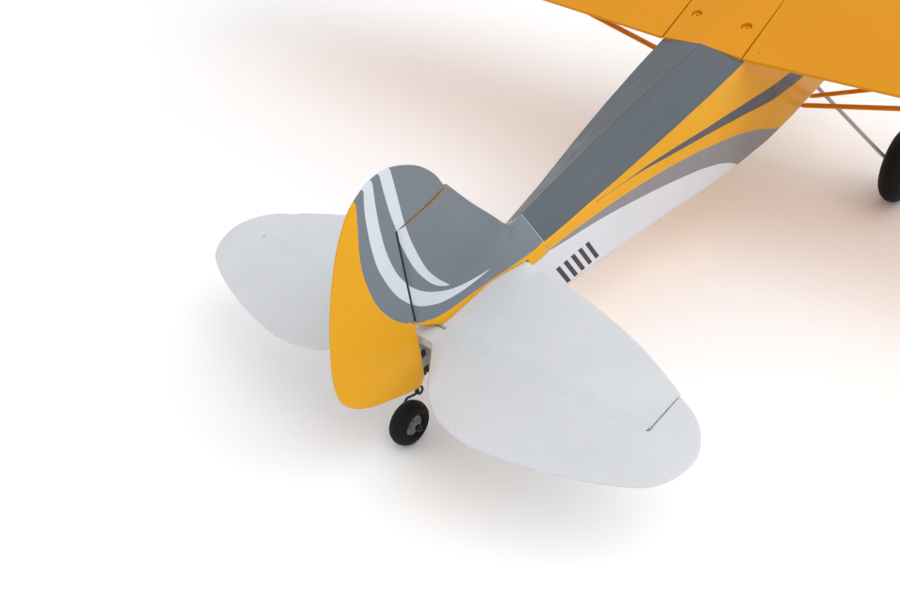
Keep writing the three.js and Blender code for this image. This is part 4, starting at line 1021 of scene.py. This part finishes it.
def propeller_skin():
    # stations as (radius, chord, thickness)
    shape = [(2, 8, 5), (9, 11, 5), (25, 17, 3.4), (50, 21, 2.8), (80, 19, 2.2), (104, 13, 1.7),
             (115, 4, 1.2)]
    rings = []
    for radius, chord, thick in smooth_through(shape, 5):
        pitch = min(math.atan2(24, radius), 0.85)
        ring = []
        for k in range(20):
            turn = 2 * math.pi * k / 20
            along = 0.5 * chord * math.cos(turn)
            through = (0.46 if turn < math.pi else 0.36) * thick * math.sin(turn)
            ring.append((PROPELLER["x"] + along * math.sin(pitch) + through * math.cos(pitch),
                         along * math.cos(pitch) - through * math.sin(pitch), radius))
        rings.append(ring)
    blade = loft(rings)
    opposite = ([(x, -y, -z) for x, y, z in blade[0]], blade[1])
    boss = rod_mesh(PROPELLER["boss"], 8, "x", (PROPELLER["x"], 0, 0), 48)
    bore = rod_mesh(PROPELLER["bore"] + GAP, 30, "x", (PROPELLER["x"], 0, 0))
    whole = mesh_data(combined("UNION", mesh_data(combined("UNION", boss, [blade])), [opposite]))
    verts, faces = mesh_data(combined("DIFFERENCE", whole, [bore]))
    verts = [(x, y, z + THRUST_Z) for x, y, z in verts]
    lay("propeller_skin", (verts, faces), "black", ["propeller"], crease=50)


def spinner_skin():
    base, bore = PROPELLER["x"] + 4 + GAP, PROPELLER["bore"] + GAP
    dome = [tuple(p) for p in smooth_through([(17, 2), (15, 9), (11.5, 15.5), (6.5, 21), (2.5, 23.4)], 6)]
    profile = [(0.01, 12), (bore, 12), (bore, 0), (16.6, 0), (17, 0.5)] + dome + [(0.01, 24)]
    body = turned([(r, base + a) for r, a in profile], "x", (0, 0, THRUST_Z))
    notch = box_mesh(base - 1, base + 4, -7.5, 7.5, THRUST_Z - 20, THRUST_Z + 20)
    lay_mesh("spinner_skin", combined("DIFFERENCE", body, [notch]), "yellow", ["spinner"],
             crease=40)


def gear_wire_skin():
    x, z, y0 = MAIN_WHEEL["x"], axle_height(MAIN_WHEEL["x"], MAIN_WHEEL["radius"]), MAIN_WHEEL["y"]
    half = [(x, 29, -101.3), (x, 33, -101.3), (x, 36.5, -101.9), (x, y0 - 25, z + 4.9), (x, y0 - 21, z + 2.2),
            (x, y0 - 17.5, z), (x, y0 + 22, z)]
    route = [(px, -py, pz) for px, py, pz in reversed(half)] + half
    verts, faces = tube(route, 2.0, 16)
    for side in (-1, 1):
        for end in (-1, 1):
            y = side * (y0 + end * (MAIN_WHEEL["width"] / 2 + 3.2))
            ring = [(2.0, -2), (4.0, -2), (4.4, -1.6), (4.4, 1.6), (4.0, 2), (2.0, 2)]
            more, sides = turned(ring, "y", (x, y, z), 32)
            faces += [tuple(len(verts) + k for k in face) for face in sides]
            verts = verts + more
    lay("gear_wire_skin", (verts, faces), "steel", ["main_gear_wire"], crease=40)


# ---- assembly
def small_parts():
    """Rounded-edge copies of the smaller CAD nodes."""
    groups = [
        (("elevator_horn", "rudder_horn", "rudder_hinge_upper", "rudder_hinge_lower", "main_gear_saddle",
          "rudder_servo", "elevator_servo", "receiver", "wing_joiner_tube"), "black", "black_plastic", 0.3),
        (("rudder_servo_arm", "elevator_servo_arm"), "ivory", "servo_arm_plastic", 0.2),
        (("rudder_rod", "elevator_rod"), "steel", "steel", 0.0),
        (("servo_tray", "firewall"), "ply", "plywood", 0.3),
        (("battery", "speed_controller"), "blue", "blue_wrap", 1.0),
        (("motor_stator", "motor_bell"), "alloy", "alloy", 0.25),
        (("windscreen", "window_left", "window_right"), "glass", "glazing", 0.25),
        (("wing_bolt_left", "wing_bolt_right"), "orange", "orange_plastic", 0.25),
        (("top_hatch",), "hatch", "grey_film", 0.5),
        (("fuselage_left", "fuselage_right"), "hull", "yellow_film", 0.4),
    ]
    for nodes, look, slot, bevel in groups:
        for node in nodes:
            refined(node, look, bevel)
    for side in ("left", "right"):
        refined(f"aileron_horn_{side}", "black", 0.3)
        refined(f"aileron_servo_{side}", "black", 0.3)
        refined(f"aileron_servo_arm_{side}", "ivory", 0.2)
        refined(f"aileron_rod_{side}", "steel", 0.0)


def airframe():
    rudder_skin()
    fin_skin()
    stabilizer_skin()
    elevator_skin()
    hinge_web()
    tail_wire()
    wheel("tail", "", TAIL_WHEEL, 0)
    wing_centre_skin()
    for name, side in (("left", 1), ("right", -1)):
        wheel("main", "_" + name, MAIN_WHEEL, side * MAIN_WHEEL["y"])
        wing_panel(side, name)
        aileron_skin(side, name)
        for which, foot, head in STRUTS:
            strut(f"strut_{which}_{name}", side, foot, head)
    cowl_skin()
    propeller_skin()
    spinner_skin()
    gear_wire_skin()
    small_parts()


def studio():
    far = 8000.0
    corners = [(-far, -far, 0), (far, -far, 0), (far, far, 0), (-far, far, 0)]
    floor_mesh = raw_mesh("floor", (corners, [(0, 1, 2, 3)]))
    floor = add_object("floor", floor_mesh)
    shader = Shader("floor_paper")
    tone = shader.mix(shader.noise(1.5), (0.95, 0.95, 0.95, 1), (0.97, 0.97, 0.97, 1))
    shader.set(Base_Color=tone, Roughness=0.9)
    floor_mesh.materials.append(shader.material)
    world = bpy.data.worlds.new("studio")
    bpy.context.scene.world = world
    world.use_nodes = True
    sky = world.node_tree.nodes["Background"].inputs
    sky[0].default_value, sky[1].default_value = (0.97, 0.98, 1.0, 1), 0.9
    lamp("key", (-0.5, -1.6, 2.4), 2.6, 28.0)
    lamp("back", (-1.6, 1.2, 2.2), 2.4, 3.0)
    lamp("front", (2.2, -0.5, 2.0), 2.0, 8.0)
    lamp("low", (0.2, -2.6, 0.7), 2.0, 3.0)


def lamp(name, place, size, power):
    light = bpy.data.lights.new(name, "AREA")
    light.shape = "DISK"
    light.size = size
    light.energy = power
    obj = add_object(name, light)
    obj.location = place
    obj.rotation_mode = "QUATERNION"
    obj.rotation_quaternion = (-Vector(place)).to_track_quat("-Z", "Y")


def camera():
    right = Vector((0.6328, -0.7638, -0.1273)).normalized()
    forward = Vector((0.5016, 0.5296, -0.684)).normalized()
    up = right.cross(forward).normalized()
    right = forward.cross(up)
    turn = Matrix((right, up, -forward)).transposed().to_4x4()
    place = Matrix.Translation(Vector((-372.0, -414.65, 544.0)) * MM)
    data = bpy.data.cameras.new("camera")
    data.lens = 43.36
    data.sensor_width = 36.0
    data.clip_start = 0.01
    eye = add_object("camera", data)
    eye.matrix_world = AIRFRAME @ place @ turn
    bpy.context.scene.camera = eye


airframe()
studio()
camera()
bpy.context.scene.view_settings.view_transform = "Standard"
